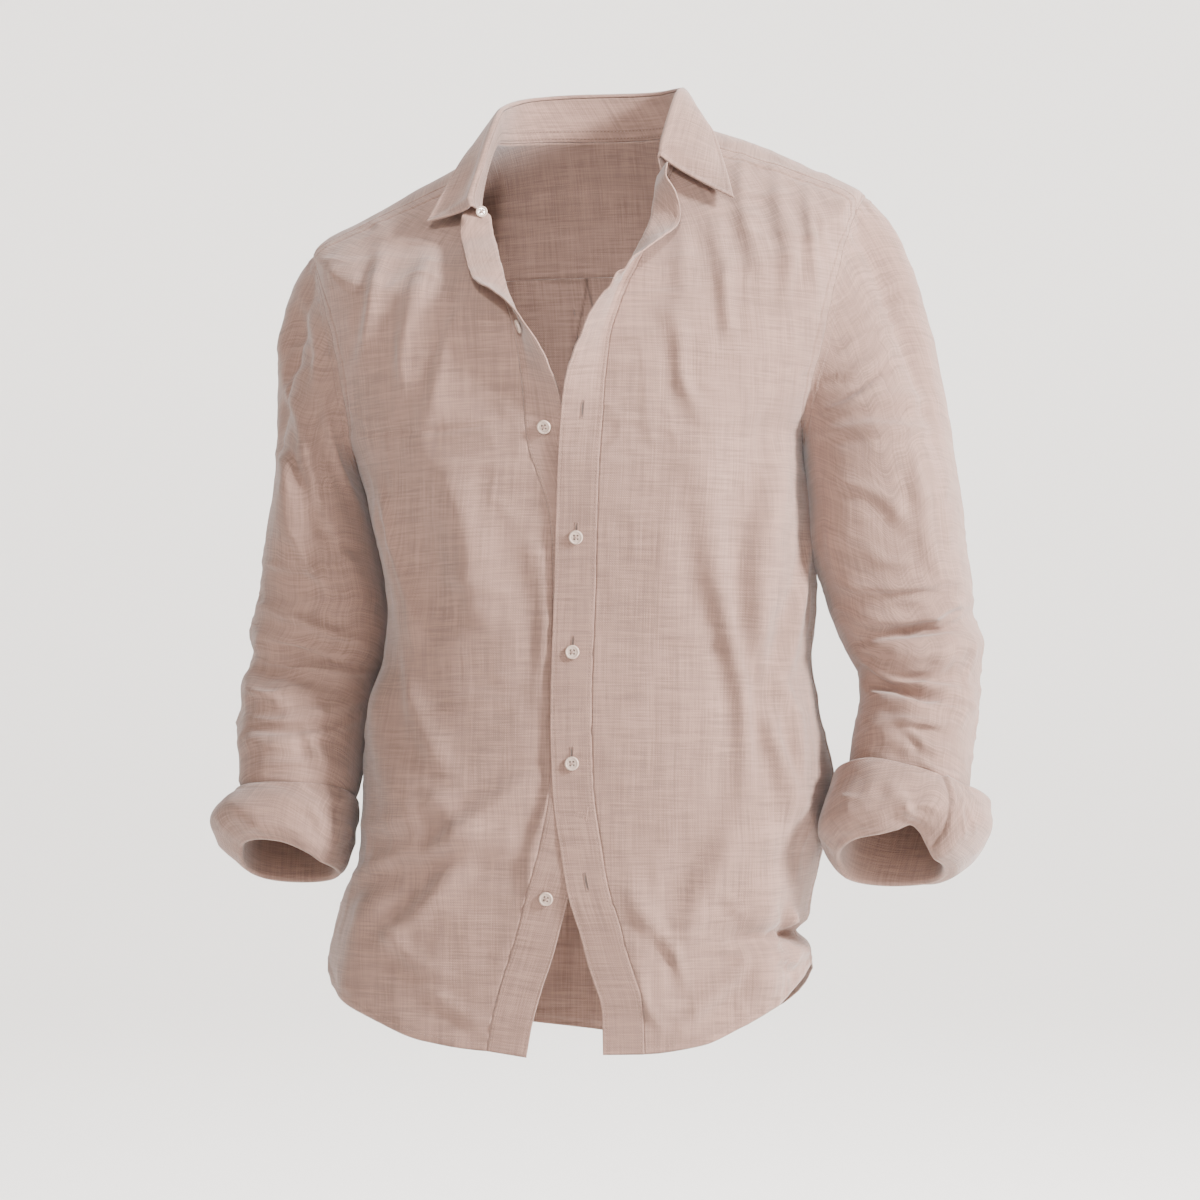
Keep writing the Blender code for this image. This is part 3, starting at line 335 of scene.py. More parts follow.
def ease(rows, at):
    """Smooth value of each column of rows at places in its first column, with no overshoot."""
    xs, ys = rows[:, 0], rows[:, 1:]
    at = np.clip(np.asarray(at, float), xs[0], xs[-1])
    run = np.diff(xs)[:, None]
    slope = np.diff(ys, axis=0) / run
    before, after = slope[:-1], slope[1:]
    w_before, w_after = 2 * run[1:] + run[:-1], run[1:] + 2 * run[:-1]
    same = before * after > 0
    safe_b, safe_a = np.where(same, before, 1), np.where(same, after, 1)
    mean = (w_before + w_after) / (w_before / safe_b + w_after / safe_a)
    lean = np.vstack([slope[:1], np.where(same, mean, 0), slope[-1:]])
    k = np.clip(np.searchsorted(xs, at, side="right") - 1, 0, len(xs) - 2)
    t = ((at - xs[k]) / run[k, 0])[..., None]
    h = run[k]
    value = ((1 + 2 * t) * (1 - t) ** 2 * ys[k] + t * (1 - t) ** 2 * h * lean[k]
             + t * t * (3 - 2 * t) * ys[k + 1] + t * t * (t - 1) * h * lean[k + 1])
    return value[..., 0] if ys.shape[1] == 1 else value


def unit(v):
    """Vectors of length one."""
    return v / np.maximum(np.linalg.norm(v, axis=-1, keepdims=True), 1e-9)


def step(t):
    """Smooth step from 0 to 1."""
    t = np.clip(t, 0, 1)
    return t * t * (3 - 2 * t)


def mark(distance, wide, at=0.0):
    """Soft line: 1 where a distance has its value, and less to both sides as in a bell curve."""
    return np.exp(-((distance - at) / wide) ** 2)


def raised(grid, facing, rise):
    """Points moved along their facing."""
    return grid + facing * rise[..., None]


def wrapped(grid):
    """Grid with its first column once more at its end."""
    return np.concatenate([grid, grid[:, :1]], axis=1)


def turned_to(facing, at, way):
    """Facing, turned round if it points against the given way at one place of the grid."""
    return facing * np.sign(np.sum(facing[at] * way))


def stations(count, start=0.0, end=0.0, share=0.03):
    """Places from 0 to 1, closer together near an end whose packing is above 0.

    The gap between places is 1 less the packing times a bell curve of the distance to that end.
    """
    s = np.linspace(0, 1, 600)
    gap = 1 - start * mark(s, share) - end * mark(1 - s, share)
    passed = np.concatenate([[0], np.cumsum(1 / gap[1:])])
    return np.interp(np.linspace(0, passed[-1], count), passed, s)


def normals(grid):
    """Direction square to a grid of points: its rows' run crossed with its columns' run."""
    return unit(np.cross(np.gradient(grid, axis=1), np.gradient(grid, axis=0)))


def ring_normals(grid):
    """The same for a grid whose last column runs on into its first."""
    wide = np.concatenate([grid[:, -2:], grid, grid[:, :2]], axis=1)
    return normals(wide)[:, 2:-2]


def smooth_rows(values, times):
    """Rows evened out with their neighbours, with both ends kept."""
    for _ in range(times):
        middle = (values[:-2] + 2 * values[1:-1] + values[2:]) / 4
        values = np.concatenate([values[:1], middle, values[-1:]])
    return values


def over_cloth(grid, axis, back=False):
    """Distance over the cloth from a grid's first or last row or column."""
    g = np.flip(grid, axis) if back else grid
    step_length = np.linalg.norm(np.diff(g, axis=axis), axis=-1)
    pad = [(0, 0), (0, 0)]
    pad[axis] = (1, 0)
    total = np.cumsum(np.pad(step_length, pad), axis=axis)
    return np.flip(total, axis) if back else total


def cloud(p, seed):
    """Smooth noise from -1 to 1 at points: values of a unit lattice's corners, eased between."""
    low = np.floor(p)
    t = step(p - low)
    total = 0.0
    kx, ky, kz, ks, gain = SCATTER
    for corner in np.ndindex(2, 2, 2):
        at = low + corner
        mixed = np.sin(at[..., 0] * kx + at[..., 1] * ky + at[..., 2] * kz + seed * ks) * gain
        value = (mixed - np.floor(mixed)) * 2 - 1
        total = total + value * np.prod(np.where(corner, t, 1 - t), axis=-1)
    return total


def crinkle(p, size, seed):
    """Network of soft ridges, -1 to 1, where the noise passes through nothing. Size is in x, y, z."""
    n = cloud(p / size + 0.6 * cloud(p / size * 0.5, seed + 5)[..., None], seed)
    return 1 - 2 * np.minimum(np.abs(n) * 2.2, 1)


def uneven(p, rows):
    """Sum of soft ridges and slow waves at points, as in one of the tables of unevenness."""
    return sum(rise * (crinkle(p, size, seed) if kind == "ridges" else cloud(p / size, seed))
               for kind, size, seed, rise in rows)


# --- Creases -------------------------------------------------------------------------------------

def folds(u, v, rows, scale):
    """Sum of soft ridges, each along a line from one end to the other, fading at both ends."""
    total = np.zeros(np.broadcast(u, v).shape)
    for u0, v0, u1, v1, half, rise in rows:
        for turn in (-360.0, 0.0, 360.0):
            du, dv = (u1 - u0) * scale, v1 - v0
            pu, pv = (u + turn - u0) * scale, v - v0
            length = math.hypot(du, dv)
            along = (pu * du + pv * dv) / length ** 2
            off = (pu * dv - pv * du) / length
            fade = step((along + 0.15) / 0.4) * step((1.15 - along) / 0.4)
            total = total + rise * fade * mark(off, half)
    return total


def creases(across, height, rows):
    """Sum of creases on a plane. Each is a ridge along a bowed line with a trough on one side.

    Its width and rise swell and sink along it, unlike from crease to crease, and it dies out
    toward both ends.
    """
    total = np.zeros(np.shape(across))
    for number, (x0, z0, x1, z1, bow, half, rise) in enumerate(rows):
        dx, dz = x1 - x0, z1 - z0
        length = math.hypot(dx, dz)
        along = ((across - x0) * dx + (height - z0) * dz) / length ** 2
        inside = np.clip(along, 0, 1)
        off = ((across - x0) * dz - (height - z0) * dx) / length - 4 * bow * inside * (1 - inside)
        off = off + 0.35 * half * np.sin(inside * (5 + number % 4) + number)
        width = half * (1 + 0.3 * np.sin(4 * inside + 1.7 * number))
        fade = step((along + 0.14) / 0.44) * step((1.14 - along) / 0.44)
        d = off / width
        total = total + rise * fade * (mark(d, 1.0) - 0.42 * mark(d, 1.2, 1.8))
    return total


def seen(p):
    """Where the camera sees points: across and up, on the plane through the figure's axis."""
    x, y, z = np.moveaxis(p, -1, 0)
    depth = VIEW_FAR - x * math.sin(VIEW_TURN) + y * math.cos(VIEW_TURN)
    across = x * math.cos(VIEW_TURN) + y * math.sin(VIEW_TURN)
    return across * VIEW_FAR / depth, z * VIEW_FAR / depth


def faces_camera(n):
    """How squarely the camera sees a surface that faces along n: 1 fully, below 0 from behind."""
    return n[..., 0] * math.sin(VIEW_TURN) - n[..., 1] * math.cos(VIEW_TURN)


def body_relief(p, n, level):
    """How far the body's cloth stands out from its plain form, by creases and fine crinkle."""
    front = creases(*seen(p), FRONT_CREASES) * step((faces_camera(n) + 0.1) / 0.4)
    front = front - NOTCH * mark(p[..., 2], 8.0, NOTCH_Z) * step((n[..., 0] - 0.25) / 0.4)
    back = creases(-p[..., 0], p[..., 2], BACK_CREASES) * step((n[..., 1] + 0.1) / 0.4)
    return (front + back + uneven(p, BODY_FINE)) * step((NECK - level) / 40.0)


# --- Form of the body ----------------------------------------------------------------------------

def plain_torso(angle, level):
    """Body surface: sections by level, angle from the front, +90 at the wearer's left."""
    c, right, left, side_y, front, back, right_z, left_z, back_z, rise = np.moveaxis(
        ease(TORSO, level), -1, 0)
    a = np.radians(angle)
    s, k = np.sin(a), np.cos(a)
    x = c + np.where(s > 0, left - c, c - right) * s * (1 + SQUARE * k * k)
    y = side_y + np.where(k > 0, front - side_y, side_y - back) * k * (1 + SQUARE * s * s)
    side = np.abs(s) ** rise
    z = side * np.where(s > 0, left_z, right_z) + (1 - side) * np.where(k > 0, level, back_z)
    turned = np.mod(angle + 180.0, 360.0) - 180.0
    felt = mark(turned, FALL_SPREAD, FALL_ANGLE) * step((level - FALL_FROM) / (NECK - FALL_FROM))
    return raised(np.stack([x, y, z], -1), FALL, felt)


def torso_normal(angle, level):
    """Outward direction of the body surface, from its two slopes."""
    e, d = 0.5, 1.0
    low, high = np.clip(level - d, LOWEST, NECK), np.clip(level + d, LOWEST, NECK)
    round_ = plain_torso(angle + e, level) - plain_torso(angle - e, level)
    up = plain_torso(angle, high) - plain_torso(angle, low)
    return unit(np.cross(round_, up))


def torso(angle, level):
    """Body surface with its large folds and the back's box pleat."""
    base = plain_torso(angle, level)
    lift = folds(angle, level, BODY_FOLDS, FOLD_SCALE)
    across = (base[..., 0] - PLEAT_X) / PLEAT_HALF
    behind = np.abs(np.mod(angle, 360.0) - 180.0) < 60.0
    pleat = PLEAT_RISE * np.clip(3.5 * (1 - np.abs(across)), 0, 1) * step((level + 20) / 160)
    pleat = pleat * step((YOKE_DROP - level) / PLEAT_OPENS)
    lift = lift * step((NECK - level) / 60) + np.where(behind, pleat, 0)
    return raised(base, torso_normal(angle, level), lift)


def body_cloth(angle, level):
    """Body surface with every crease, and the way it faces."""
    p, n = torso(angle, level), torso_normal(angle, level)
    return raised(p, n, body_relief(p, n, level)), n


def grain(angle, level, middle=0.0):
    """Place on the flat cloth of a point of the body: its way round from the middle, and up."""
    a = np.linspace(-180, 360, 217)
    b = np.linspace(LOWEST, NECK, 141)
    grid = plain_torso(*np.meshgrid(a, b))
    up = over_cloth(grid, 0)
    round_ = over_cloth(grid, 1)
    round_ = round_ - round_[:, [int(round((middle - a[0]) / (a[1] - a[0])))]]
    fa = np.clip((angle - a[0]) / (a[1] - a[0]), 0, len(a) - 1.001)
    fb = np.clip((level - b[0]) / (b[1] - b[0]), 0, len(b) - 1.001)
    i, j = fb.astype(int), fa.astype(int)
    ti, tj = fb - i, fa - j
    place = []
    for table in (round_, up):
        low = table[i, j] * (1 - tj) + table[i, j + 1] * tj
        high = table[i + 1, j] * (1 - tj) + table[i + 1, j + 1] * tj
        place.append(low * (1 - ti) + high * ti)
    return np.stack(place, -1)


def armhole(side, around):
    """Domain point of the armhole at an angle round the sleeve: 0 tip, 90 front, 180 armpit."""
    a = np.radians(around)
    level = ARMPIT + (TIP - ARMPIT) * (1 + np.cos(a)) / 2
    return np.stack([side * (90 - ARM_SWING * np.sin(a)), level + 0 * a], -1)


def hem_level(angle):
    """Height of the hem at an angle from the front."""
    return ease(HEM, np.abs(np.mod(angle + 180.0, 360.0) - 180.0))


def edge_angle(side, level):
    """Angle where a front's edge crosses a section, found by halving."""
    low, high = np.full_like(level, -EDGE_LIMIT), np.full_like(level, EDGE_LIMIT)
    for _ in range(40):
        mid = (low + high) / 2
        p = plain_torso(mid, level)
        past = p[..., 0] > ease(EDGE[side], p[..., 2])
        high, low = np.where(past, mid, high), np.where(past, low, mid)
    return (low + high) / 2


def coons(bottom, top, start, end, c, r):
    """Domain points of a panel from its four edges, at shares c across and r up."""
    c, r = c[None, :, None], r[:, None, None]
    rows = (1 - c) * start[:, None] + c * end[:, None]
    cols = (1 - r) * bottom[None] + r * top[None]
    corners = ((1 - r) * ((1 - c) * bottom[0] + c * bottom[-1])
               + r * ((1 - c) * top[0] + c * top[-1]))
    return rows + cols - corners


def side_line(side, r):
    """Domain points up a side seam and on round the armhole, toward the front or the back."""
    low = np.stack([np.full(len(r), 90.0), np.interp(r, np.arange(len(LOW_LEVELS)), LOW_LEVELS)], -1)
    turn = side * AROUND_STEP * (np.maximum(r, SIDE_ROWS) - SIDE_ROWS)
    return np.where(r[:, None] < SIDE_ROWS, low, armhole(1, 180 - turn))


def front_domain(side, r, c):
    """Domain grid of a front, at shares r of the way from hem to neck and c from band to side."""
    arm_rows = SIDE_ROWS + (180 - FRONT_CORNER) / AROUND_STEP
    rows = r * (arm_rows + YOKE_ROWS)
    corner = armhole(side, np.array([FRONT_CORNER]))[0]
    neck = np.array([side * YOKE_SIDE, NECK])
    run = np.clip((rows - arm_rows) / YOKE_ROWS, 0, 1)[:, None] ** 1.3
    seam = side_line(1, np.minimum(rows, arm_rows)) * (side, 1)
    outer = np.where(rows[:, None] < arm_rows, seam, corner + (neck - corner) * run)
    guide = np.array([(0, -360.0), (SIDE_ROWS, 112), (arm_rows, 236), (arm_rows + YOKE_ROWS, NECK)])
    level = ease(guide, rows)
    for _ in range(6):
        angle = edge_angle(side, level)
        level = ease(guide, rows) + (hem_level(angle[0]) - guide[0, 1]) * np.clip(1 - rows, 0, 1)
    inner = np.stack([angle, level], -1)
    hem_angle = inner[0, 0] + (outer[0, 0] - inner[0, 0]) * c
    bottom = np.stack([hem_angle, hem_level(hem_angle)], -1)
    top = np.stack([inner[-1, 0] + (outer[-1, 0] - inner[-1, 0]) * c, np.full(len(c), NECK)], -1)
    return coons(bottom, top, inner, outer, c, r)


def yoke_seam(angle):
    """Level of the yoke's back seam: highest at the centre, falling to the armholes."""
    corner = armhole(1, np.array([BACK_CORNER]))[0]
    t = np.abs(np.mod(angle, 360.0) - 180) / (180 - corner[0])
    return YOKE_DROP + (corner[1] - YOKE_DROP) * t ** 2


def back_domain(r, c):
    """Domain grid of the back, at shares r of the way from hem to yoke and c from left to right."""
    rows = r * (SIDE_ROWS + (BACK_CORNER - 180) / AROUND_STEP)
    left = side_line(-1, rows)
    right = left * (-1, 1) + (360, 0)
    angle = left[-1, 0] + (right[-1, 0] - left[-1, 0]) * c
    low = 90 + 180 * c
    return coons(np.stack([low, hem_level(low)], -1), np.stack([angle, yoke_seam(angle)], -1),
                 left, right, c, r)


def yoke_domain(r, c):
    """Domain grid of the yoke, at shares r of the way from its lower edge to the neck."""
    tip = (FRONT_CORNER - BACK_CORNER + 360) / AROUND_STEP
    columns = c * (2 * tip + YOKE_COLS)
    corner = armhole(1, np.array([BACK_CORNER]))[0]
    left, right = (armhole(1, FRONT_CORNER - AROUND_STEP * np.clip(passed, 0, tip))
                   for passed in (columns, columns[-1] - columns))
    right = right * (-1, 1) + (360, 0)
    angle = corner[0] + (360 - 2 * corner[0]) * np.clip((columns - tip) / YOKE_COLS, 0, 1)
    back = np.stack([angle, yoke_seam(angle)], -1)
    bottom = np.where(columns[:, None] < tip, left,
                      np.where(columns[:, None] > tip + YOKE_COLS, right, back))
    stops = np.array([(0, YOKE_SIDE), (tip, 104), (tip + YOKE_COLS, 256),
                      (2 * tip + YOKE_COLS, 360 - YOKE_SIDE)])
    neck = np.stack([ease(stops, columns), np.full(len(c), NECK)], -1)
    run = (r ** 1.3)[:, None]
    return coons(bottom, neck, bottom[0] + (neck[0] - bottom[0]) * run,
                 bottom[-1] + (neck[-1] - bottom[-1]) * run, c, r)


# --- Form of the sleeves and the collar ----------------------------------------------------------

def sections(rows, at, around, tilt=None):
    """Rings across a bent path: rows give height, centre, half width and half depth.

    A ring lies square to the path, or leans forward by the given tilt.
    """
    table = rows[np.argsort(rows[:, 0])]
    value = ease(table, at)
    centre = np.concatenate([value[..., :2], np.asarray(at)[..., None]], -1)
    run = ease(table, at - 4.0)[..., :2] - ease(table, at + 4.0)[..., :2]
    path = unit(np.concatenate([run, np.full(at.shape + (1,), -8.0)], -1))
    if tilt is not None:
        path = np.zeros_like(path) + (0.0, -math.sin(tilt), -math.cos(tilt))
    side = 1.0 if table[0, 1] > 0 else -1.0
    across = np.zeros_like(path) + (side, 0.0, 0.0)
    across = unit(across - path * np.sum(across * path, -1, keepdims=True))
    ahead = unit(np.cross(path, across)) * side
    a = np.radians(around)
    x = value[..., 2] * np.cos(a) * (1 + SQUARE * np.sin(a) ** 2)
    y = value[..., 3] * np.sin(a) * (1 + SQUARE * np.cos(a) ** 2)
    return centre + across * x[..., None] + ahead * y[..., None]


def sleeve_cap(side, rows, around, t):
    """Cloth between the armhole and the first section: a Hermite curve at each angle."""
    at = armhole(side, around)
    start = torso(at[..., 0], at[..., 1])
    before = at * 1.3 - 0.3 * np.array([side * 90.0, (ARMPIT + TIP) / 2])
    lead = unit(start - torso(before[..., 0], before[..., 1]))
    down = np.abs(np.sin(np.radians(around / 2)))[..., None] ** 6
    lead = unit(lead + down * np.array([side * 0.9, 0.0, 0.0]))
    end = sections(rows, np.full(around.shape, rows[0, 0]), around)
    leave = unit(sections(rows, np.full(around.shape, rows[0, 0] - 6.0), around) - end)
    m0, m1 = ease(START_PULL, around)[..., None], ease(END_PULL, around)[..., None]
    t = t[..., None]
    return ((1 + 2 * t) * (1 - t) ** 2 * start + t * (1 - t) ** 2 * m0 * lead
            + t * t * (3 - 2 * t) * end + t * t * (t - 1) * m1 * leave)


def neck_line(turn):
    """Seam, fold, outward and up at places round the neck."""
    seam = torso(-turn, np.full(len(turn), NECK))
    up = ease(FOLD, turn)
    fold = seam + up
    along = unit(np.gradient(fold, axis=0))
    outward = unit(np.cross(UP, along))
    return seam, fold, outward, unit(up)


# --- Meshes --------------------------------------------------------------------------------------

def quads_between(index, beside):
    """Quads of a grid of corner numbers and of the same grid moved one column along."""
    return np.stack([index[:-1], beside[:-1], beside[1:], index[1:]], -1).reshape(-1, 4)


def made(name, points, faces, finishes):
    """Object of points in table units, smooth all over, that rides with the shirt."""
    mesh = bpy.data.meshes.new(name)
    mesh.from_pydata(((points - NECK_REST) * MM).reshape(-1, 3).tolist(), [], faces)
    for finish in finishes:
        mesh.materials.append(finish)
    mesh.update()
    mesh.shade_smooth()
    obj = bpy.data.objects.new(name, mesh)
    bpy.context.scene.collection.objects.link(obj)
    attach(obj, "root")
    return obj


def cloth(name, points, place, tone, wall, outward=True, closed=False):
    """Grid of points as cloth, thickened inward. Place is its own place on the flat cloth, in mm.

    A closed grid's place has one more column than its points. Tone is kept for each point: above
    nothing where the cloth is paler, as along a worn edge or under a painted highlight, and below
    nothing where shade is painted into its colour, as along stitching and under an edge that lies over it.
    """
    rows, cols = points.shape[:2]
    index = np.arange(rows * cols).reshape(rows, cols)
    wide = np.arange(rows * place.shape[1]).reshape(rows, -1)
    span = cols if closed else cols - 1
    quads = quads_between(index[:, :span], np.roll(index, -1, axis=1)[:, :span])
    chart = quads_between(wide[:, :span], wide[:, 1:span + 1])
    if not outward:
        quads, chart = quads[:, ::-1], chart[:, ::-1]
    obj = made(name, points, quads.tolist(), [LINEN])
    layer = obj.data.uv_layers.new(name="grain")
    layer.data.foreach_set("uv", (place.reshape(-1, 2)[chart.ravel()] * MM).astype(np.float32).ravel())
    shade = obj.data.attributes.new("tone", "FLOAT", "POINT")
    shade.data.foreach_set("value", tone.astype(np.float32).ravel())
    wall_of = obj.modifiers.new("wall", "SOLIDIFY")
    wall_of.thickness = wall * MM
    wall_of.offset = -1.0
    return obj


def line_at(grid, facing, distance, wanted, axis):
    """Points and facing along the line where a distance over a grid has the wanted value."""
    g, f, d = (np.moveaxis(a, axis, 0) for a in (grid, facing, distance))
    if d[0, 0] > d[-1, 0]:
        g, f, d = g[::-1], f[::-1], d[::-1]
    k = np.clip(np.argmax(d > wanted, axis=0), 1, None)
    j = np.arange(g.shape[1])
    low, high = d[k - 1, j], d[k, j]
    t = np.clip((wanted - low) / np.maximum(high - low, 1e-6), 0, 1)[:, None]
    return g[k - 1, j] * (1 - t) + g[k, j] * t, unit(f[k - 1, j] * (1 - t) + f[k, j] * t)


def closed_line(ring, facing):
    """Line round a ring of points, back to its first, and its facing."""
    return np.vstack([ring, ring[:1]]), np.vstack([facing, facing[:1]])


def passed_along(line):
    """Distance passed along a line at each of its points."""
    return np.concatenate([[0], np.cumsum(np.linalg.norm(np.diff(line, axis=0), axis=-1))])


def at_distances(at, passed, values):
    """Values of a line's points, eased to distances along it."""
    return np.stack([np.interp(at, passed, part) for part in values.T], -1)


STITCH = 3.1                   # from one stitch to the next
STITCH_LONG, STITCH_WIDE, STITCH_HIGH = 2.3, 0.5, 0.34
STITCH_AIM = 0.4               # how far along the line a stitch takes its way from
STITCH_LEAN = 0.12             # how far it lies across the line, for each millimetre along it
BEAD = np.array([(1, 3, 4), (3, 0, 4), (0, 2, 4), (2, 1, 4), (3, 1, 5), (0, 3, 5), (2, 0, 5), (1, 2, 5)])


def beads(middle, along, side, over, under):
    """Six points of each stitch: its two ends, its two sides, its top and its underside."""
    return np.stack([middle - along, middle + along, middle - side, middle + side,
                     middle + over, middle - under], 1)


def bead_faces(count):
    """Triangles of so many beads."""
    return (BEAD[None] + 6 * np.arange(count)[:, None, None]).reshape(-1, 3)


def stitches(name, lines):
    """Rows of stitches as one mesh: each is a six-pointed bead along its line, half in the cloth."""
    bodies = []
    for points, facing in lines:
        passed = passed_along(points)
        at = np.arange(STITCH / 2, passed[-1], STITCH)
        centre = at_distances(at, passed, points)
        along = unit(at_distances(at + STITCH_AIM, passed, points) - centre)
        out = unit(at_distances(at, passed, facing))
        side = np.cross(out, along)
        bodies.append(beads(centre, (along + STITCH_LEAN * side) * STITCH_LONG / 2, side * STITCH_WIDE / 2,
                            out * STITCH_HIGH, out * STITCH_HIGH / 2))
    points = np.concatenate(bodies)
    return made(name, points, bead_faces(len(points)).tolist(), [THREAD])


# --- Materials -----------------------------------------------------------------------------------

class Wire:
    """Output of a node. Arithmetic on it adds Math nodes to its material."""

    def __init__(self, finish, socket):
        self.finish = finish
        self.socket = socket

    def math(self, operation, *values):
        return self.finish.node("ShaderNodeMath", {"operation": operation}, dict(enumerate(values)))

    def __add__(self, other):
        return self.math("ADD", self, other)

    def __sub__(self, other):
        return self.math("SUBTRACT", self, other)

    def __rsub__(self, other):
        return self.math("SUBTRACT", other, self)

    def __mul__(self, other):
        return self.math("MULTIPLY", self, other)

    __radd__ = __add__
    __rmul__ = __mul__

    def sine(self):
        return self.math("SINE", self)


class Finish:
    """Material whose nodes are made one by one."""

    def __init__(self, name):
        self.material = bpy.data.materials.new(name)
        self.material.use_nodes = True
        self.tree = self.material.node_tree
        self.shader = self.tree.nodes["Principled BSDF"]

    def put(self, socket, value):
        """Link or value for a socket."""
        if isinstance(value, Wire):
            self.tree.links.new(value.socket, socket)
        else:
            socket.default_value = value

    def node(self, kind, settings=None, values=None, out=0):
        """New node of a type, with its settings and then its sockets' values or links."""
        new = self.tree.nodes.new(kind)
        for key, value in (settings or {}).items():
            setattr(new, key, value)
        for key, value in (values or {}).items():
            self.put(new.inputs[key], value)
        return Wire(self, new.outputs[out])

    def blend(self, share, first, second):
        """Colour mixed of two, by a share. Sockets 0, 6 and 7 are the node's share and colours."""
        return self.node("ShaderNodeMix", {"data_type": "RGBA"}, {0: share, 6: first, 7: second}, 2)

    def surface(self, **values):
        """Values or links of the shader's own sockets, named with _ for a space."""
        for key, value in values.items():
            self.put(self.shader.inputs[key.replace("_", " ")], value)

    def mottle(self, size, colour, low, high, **settings):
        """Noise on the piece's own coordinates, and the colour that it makes darker and paler."""
        where = self.node("ShaderNodeTexCoord", out=3)
        grey = self.node("ShaderNodeTexNoise", None, {"Vector": where, "Scale": size, **settings})
        return grey, self.blend(grey, rgb(colour, low), rgb(colour, high))


def rgb(colour, gain=1.0):
    """Colour with its alpha."""
    return (*(gain * part for part in colour), 1.0)


# Unevenness of the weave: waves in a metre across and up the cloth, detail, and place in the noise.
WEAVE = {"weft": (26.0, 620.0, 2.0, 13.3), "warp": (700.0, 22.0, 2.0, 27.7),
         "slub": (60.0, 1250.0, 1.0, 43.1), "bands": (9.0, 160.0, 1.0, 55.2),
         "stripes": (150.0, 7.0, 1.0, 69.4), "patches": (14.0, 12.0, 2.0, 81.0),
         "drift": (22.0, 26.0, 1.0, 94.0)}
THREAD_PITCH = 0.0009          # metres from one thread to the next
DEEPEST_PAINTED_SHADE = 0.32               # how dark the deepest painted shade is, of the cloth's colour, as in seams, the pleat's folds and above the cuffs


def linen_finish():
    """Slubby plain-weave linen.

    Threads run both ways on the cloth's own place. Long thin noise makes uneven threads, a slower
    one makes thick and thin stretches of weave, and a product of two sines makes the crossings.
    The tone attribute adds painted shade and highlight, and paler wear, to the weave's colour; below
    about -0.6 it mixes toward a deeper painted shade.
    """
    f = Finish("linen")
    place = f.node("ShaderNodeSeparateXYZ", None, {0: f.node("ShaderNodeUVMap", {"uv_map": "grain"})})
    u, v = place, Wire(f, place.socket.node.outputs[1])
    tone = f.node("ShaderNodeAttribute", {"attribute_name": "tone"}, out="Fac")

    def noise(across, up, detail, at):
        """Noise about 0 with so many waves a metre across and up the cloth."""
        where = f.node("ShaderNodeCombineXYZ", None, {0: u * across + at, 1: v * up + at})
        return f.node("ShaderNodeTexNoise", {"noise_dimensions": "2D"},
                      {"Vector": where, "Scale": 1.0, "Detail": detail, "Roughness": 0.55}) - 0.5

    weft, warp, slub, bands, stripes, patches, drift = (noise(*row) for row in WEAVE.values())
    turn = math.pi / THREAD_PITCH
    cross = (u * turn + warp * 3.0).sine() * (v * turn + weft * 3.0).sine()
    threads = weft * 1.5 + warp * 1.35 + slub * 0.7 + bands * 0.6 + stripes * 0.6
    # tone brings painted shade and highlight, and paler worn edges, into the weave's colour
    shade = threads * (drift * 1.6 + 1.05) + patches * 0.6 + cross * 0.08 + tone * 0.5 + 0.5
    woven = f.blend(shade, rgb(CLOTH_COLOUR, 0.80), rgb(CLOTH_COLOUR, 1.20))
    height = weft * 0.9 + warp * 0.8 + slub * 0.5 + cross * 0.22
    bump = f.node("ShaderNodeBump", None, {"Strength": 0.55, "Distance": 0.0006, "Height": height})
    # tone far below nothing mixes the colour toward the deepest painted shade
    f.surface(Base_Color=f.blend(tone * -0.8 - 0.45, woven, rgb(CLOTH_COLOUR, DEEPEST_PAINTED_SHADE)), Normal=bump,
              Roughness=0.86, Sheen_Weight=0.25, Sheen_Roughness=0.5, Specular_IOR_Level=0.25)
    return f.material


def thread_finish():
    """Sewing thread: fine twist along it in pale linen colour."""
    f = Finish("sewing_thread")
    f.surface(Base_Color=f.mottle(900.0, THREAD_COLOUR, 0.82, 1.12, Detail=1.0)[1], Roughness=0.7)
    return f.material


def shell_finish():
    """Shirt button's pale shell: slow bands of tone under a satin face."""
    f = Finish("button_shell")
    waves, colour = f.mottle(160.0, SHELL_COLOUR, 0.9, 1.12, Detail=3.0, Distortion=1.5)
    f.surface(Base_Color=colour, Roughness=0.32 + waves * 0.12, Coat_Weight=0.2)
    return f.material


def dark_finish():
    """Shade inside a buttonhole or a button's hole."""
    f = Finish("hole_shade")
    f.surface(Base_Color=f.mottle(700.0, HOLE_COLOUR, 1.0, 2.0)[1], Roughness=0.95)
    return f.material


LINEN = linen_finish()
THREAD = thread_finish()
SHELL = shell_finish()
DARK = dark_finish()


# --- Seams ---------------------------------------------------------------------------------------

# Distance from an edge to its seam or its row of stitches.
HEM_WIDE, FELL_WIDE, YOKE_SEAM, ARMHOLE_SEAM, BAND_SEAM, LEAF_SEAM = 6.5, 8.0, 3.5, 7.5, 2.6, 5.0
STAND_SEAMS = (2.4, 8.6)
DENT, GROOVE = 0.9, 0.3        # half width and depth of the groove that a row of stitches draws
EDGE_SOFT = 1.2                # how far in from an edge its tone reaches: paler wear on the hems, painted shade on the yoke and at the sleeves' armholes
# How far a doubled strip stands out along each kind of edge.
HEM_RISE, FELL_RISE, YOKE_RISE, YOKE_END_RISE, ARMHOLE_RISE = 0.5, 0.4, 0.55, 0.5, 0.6
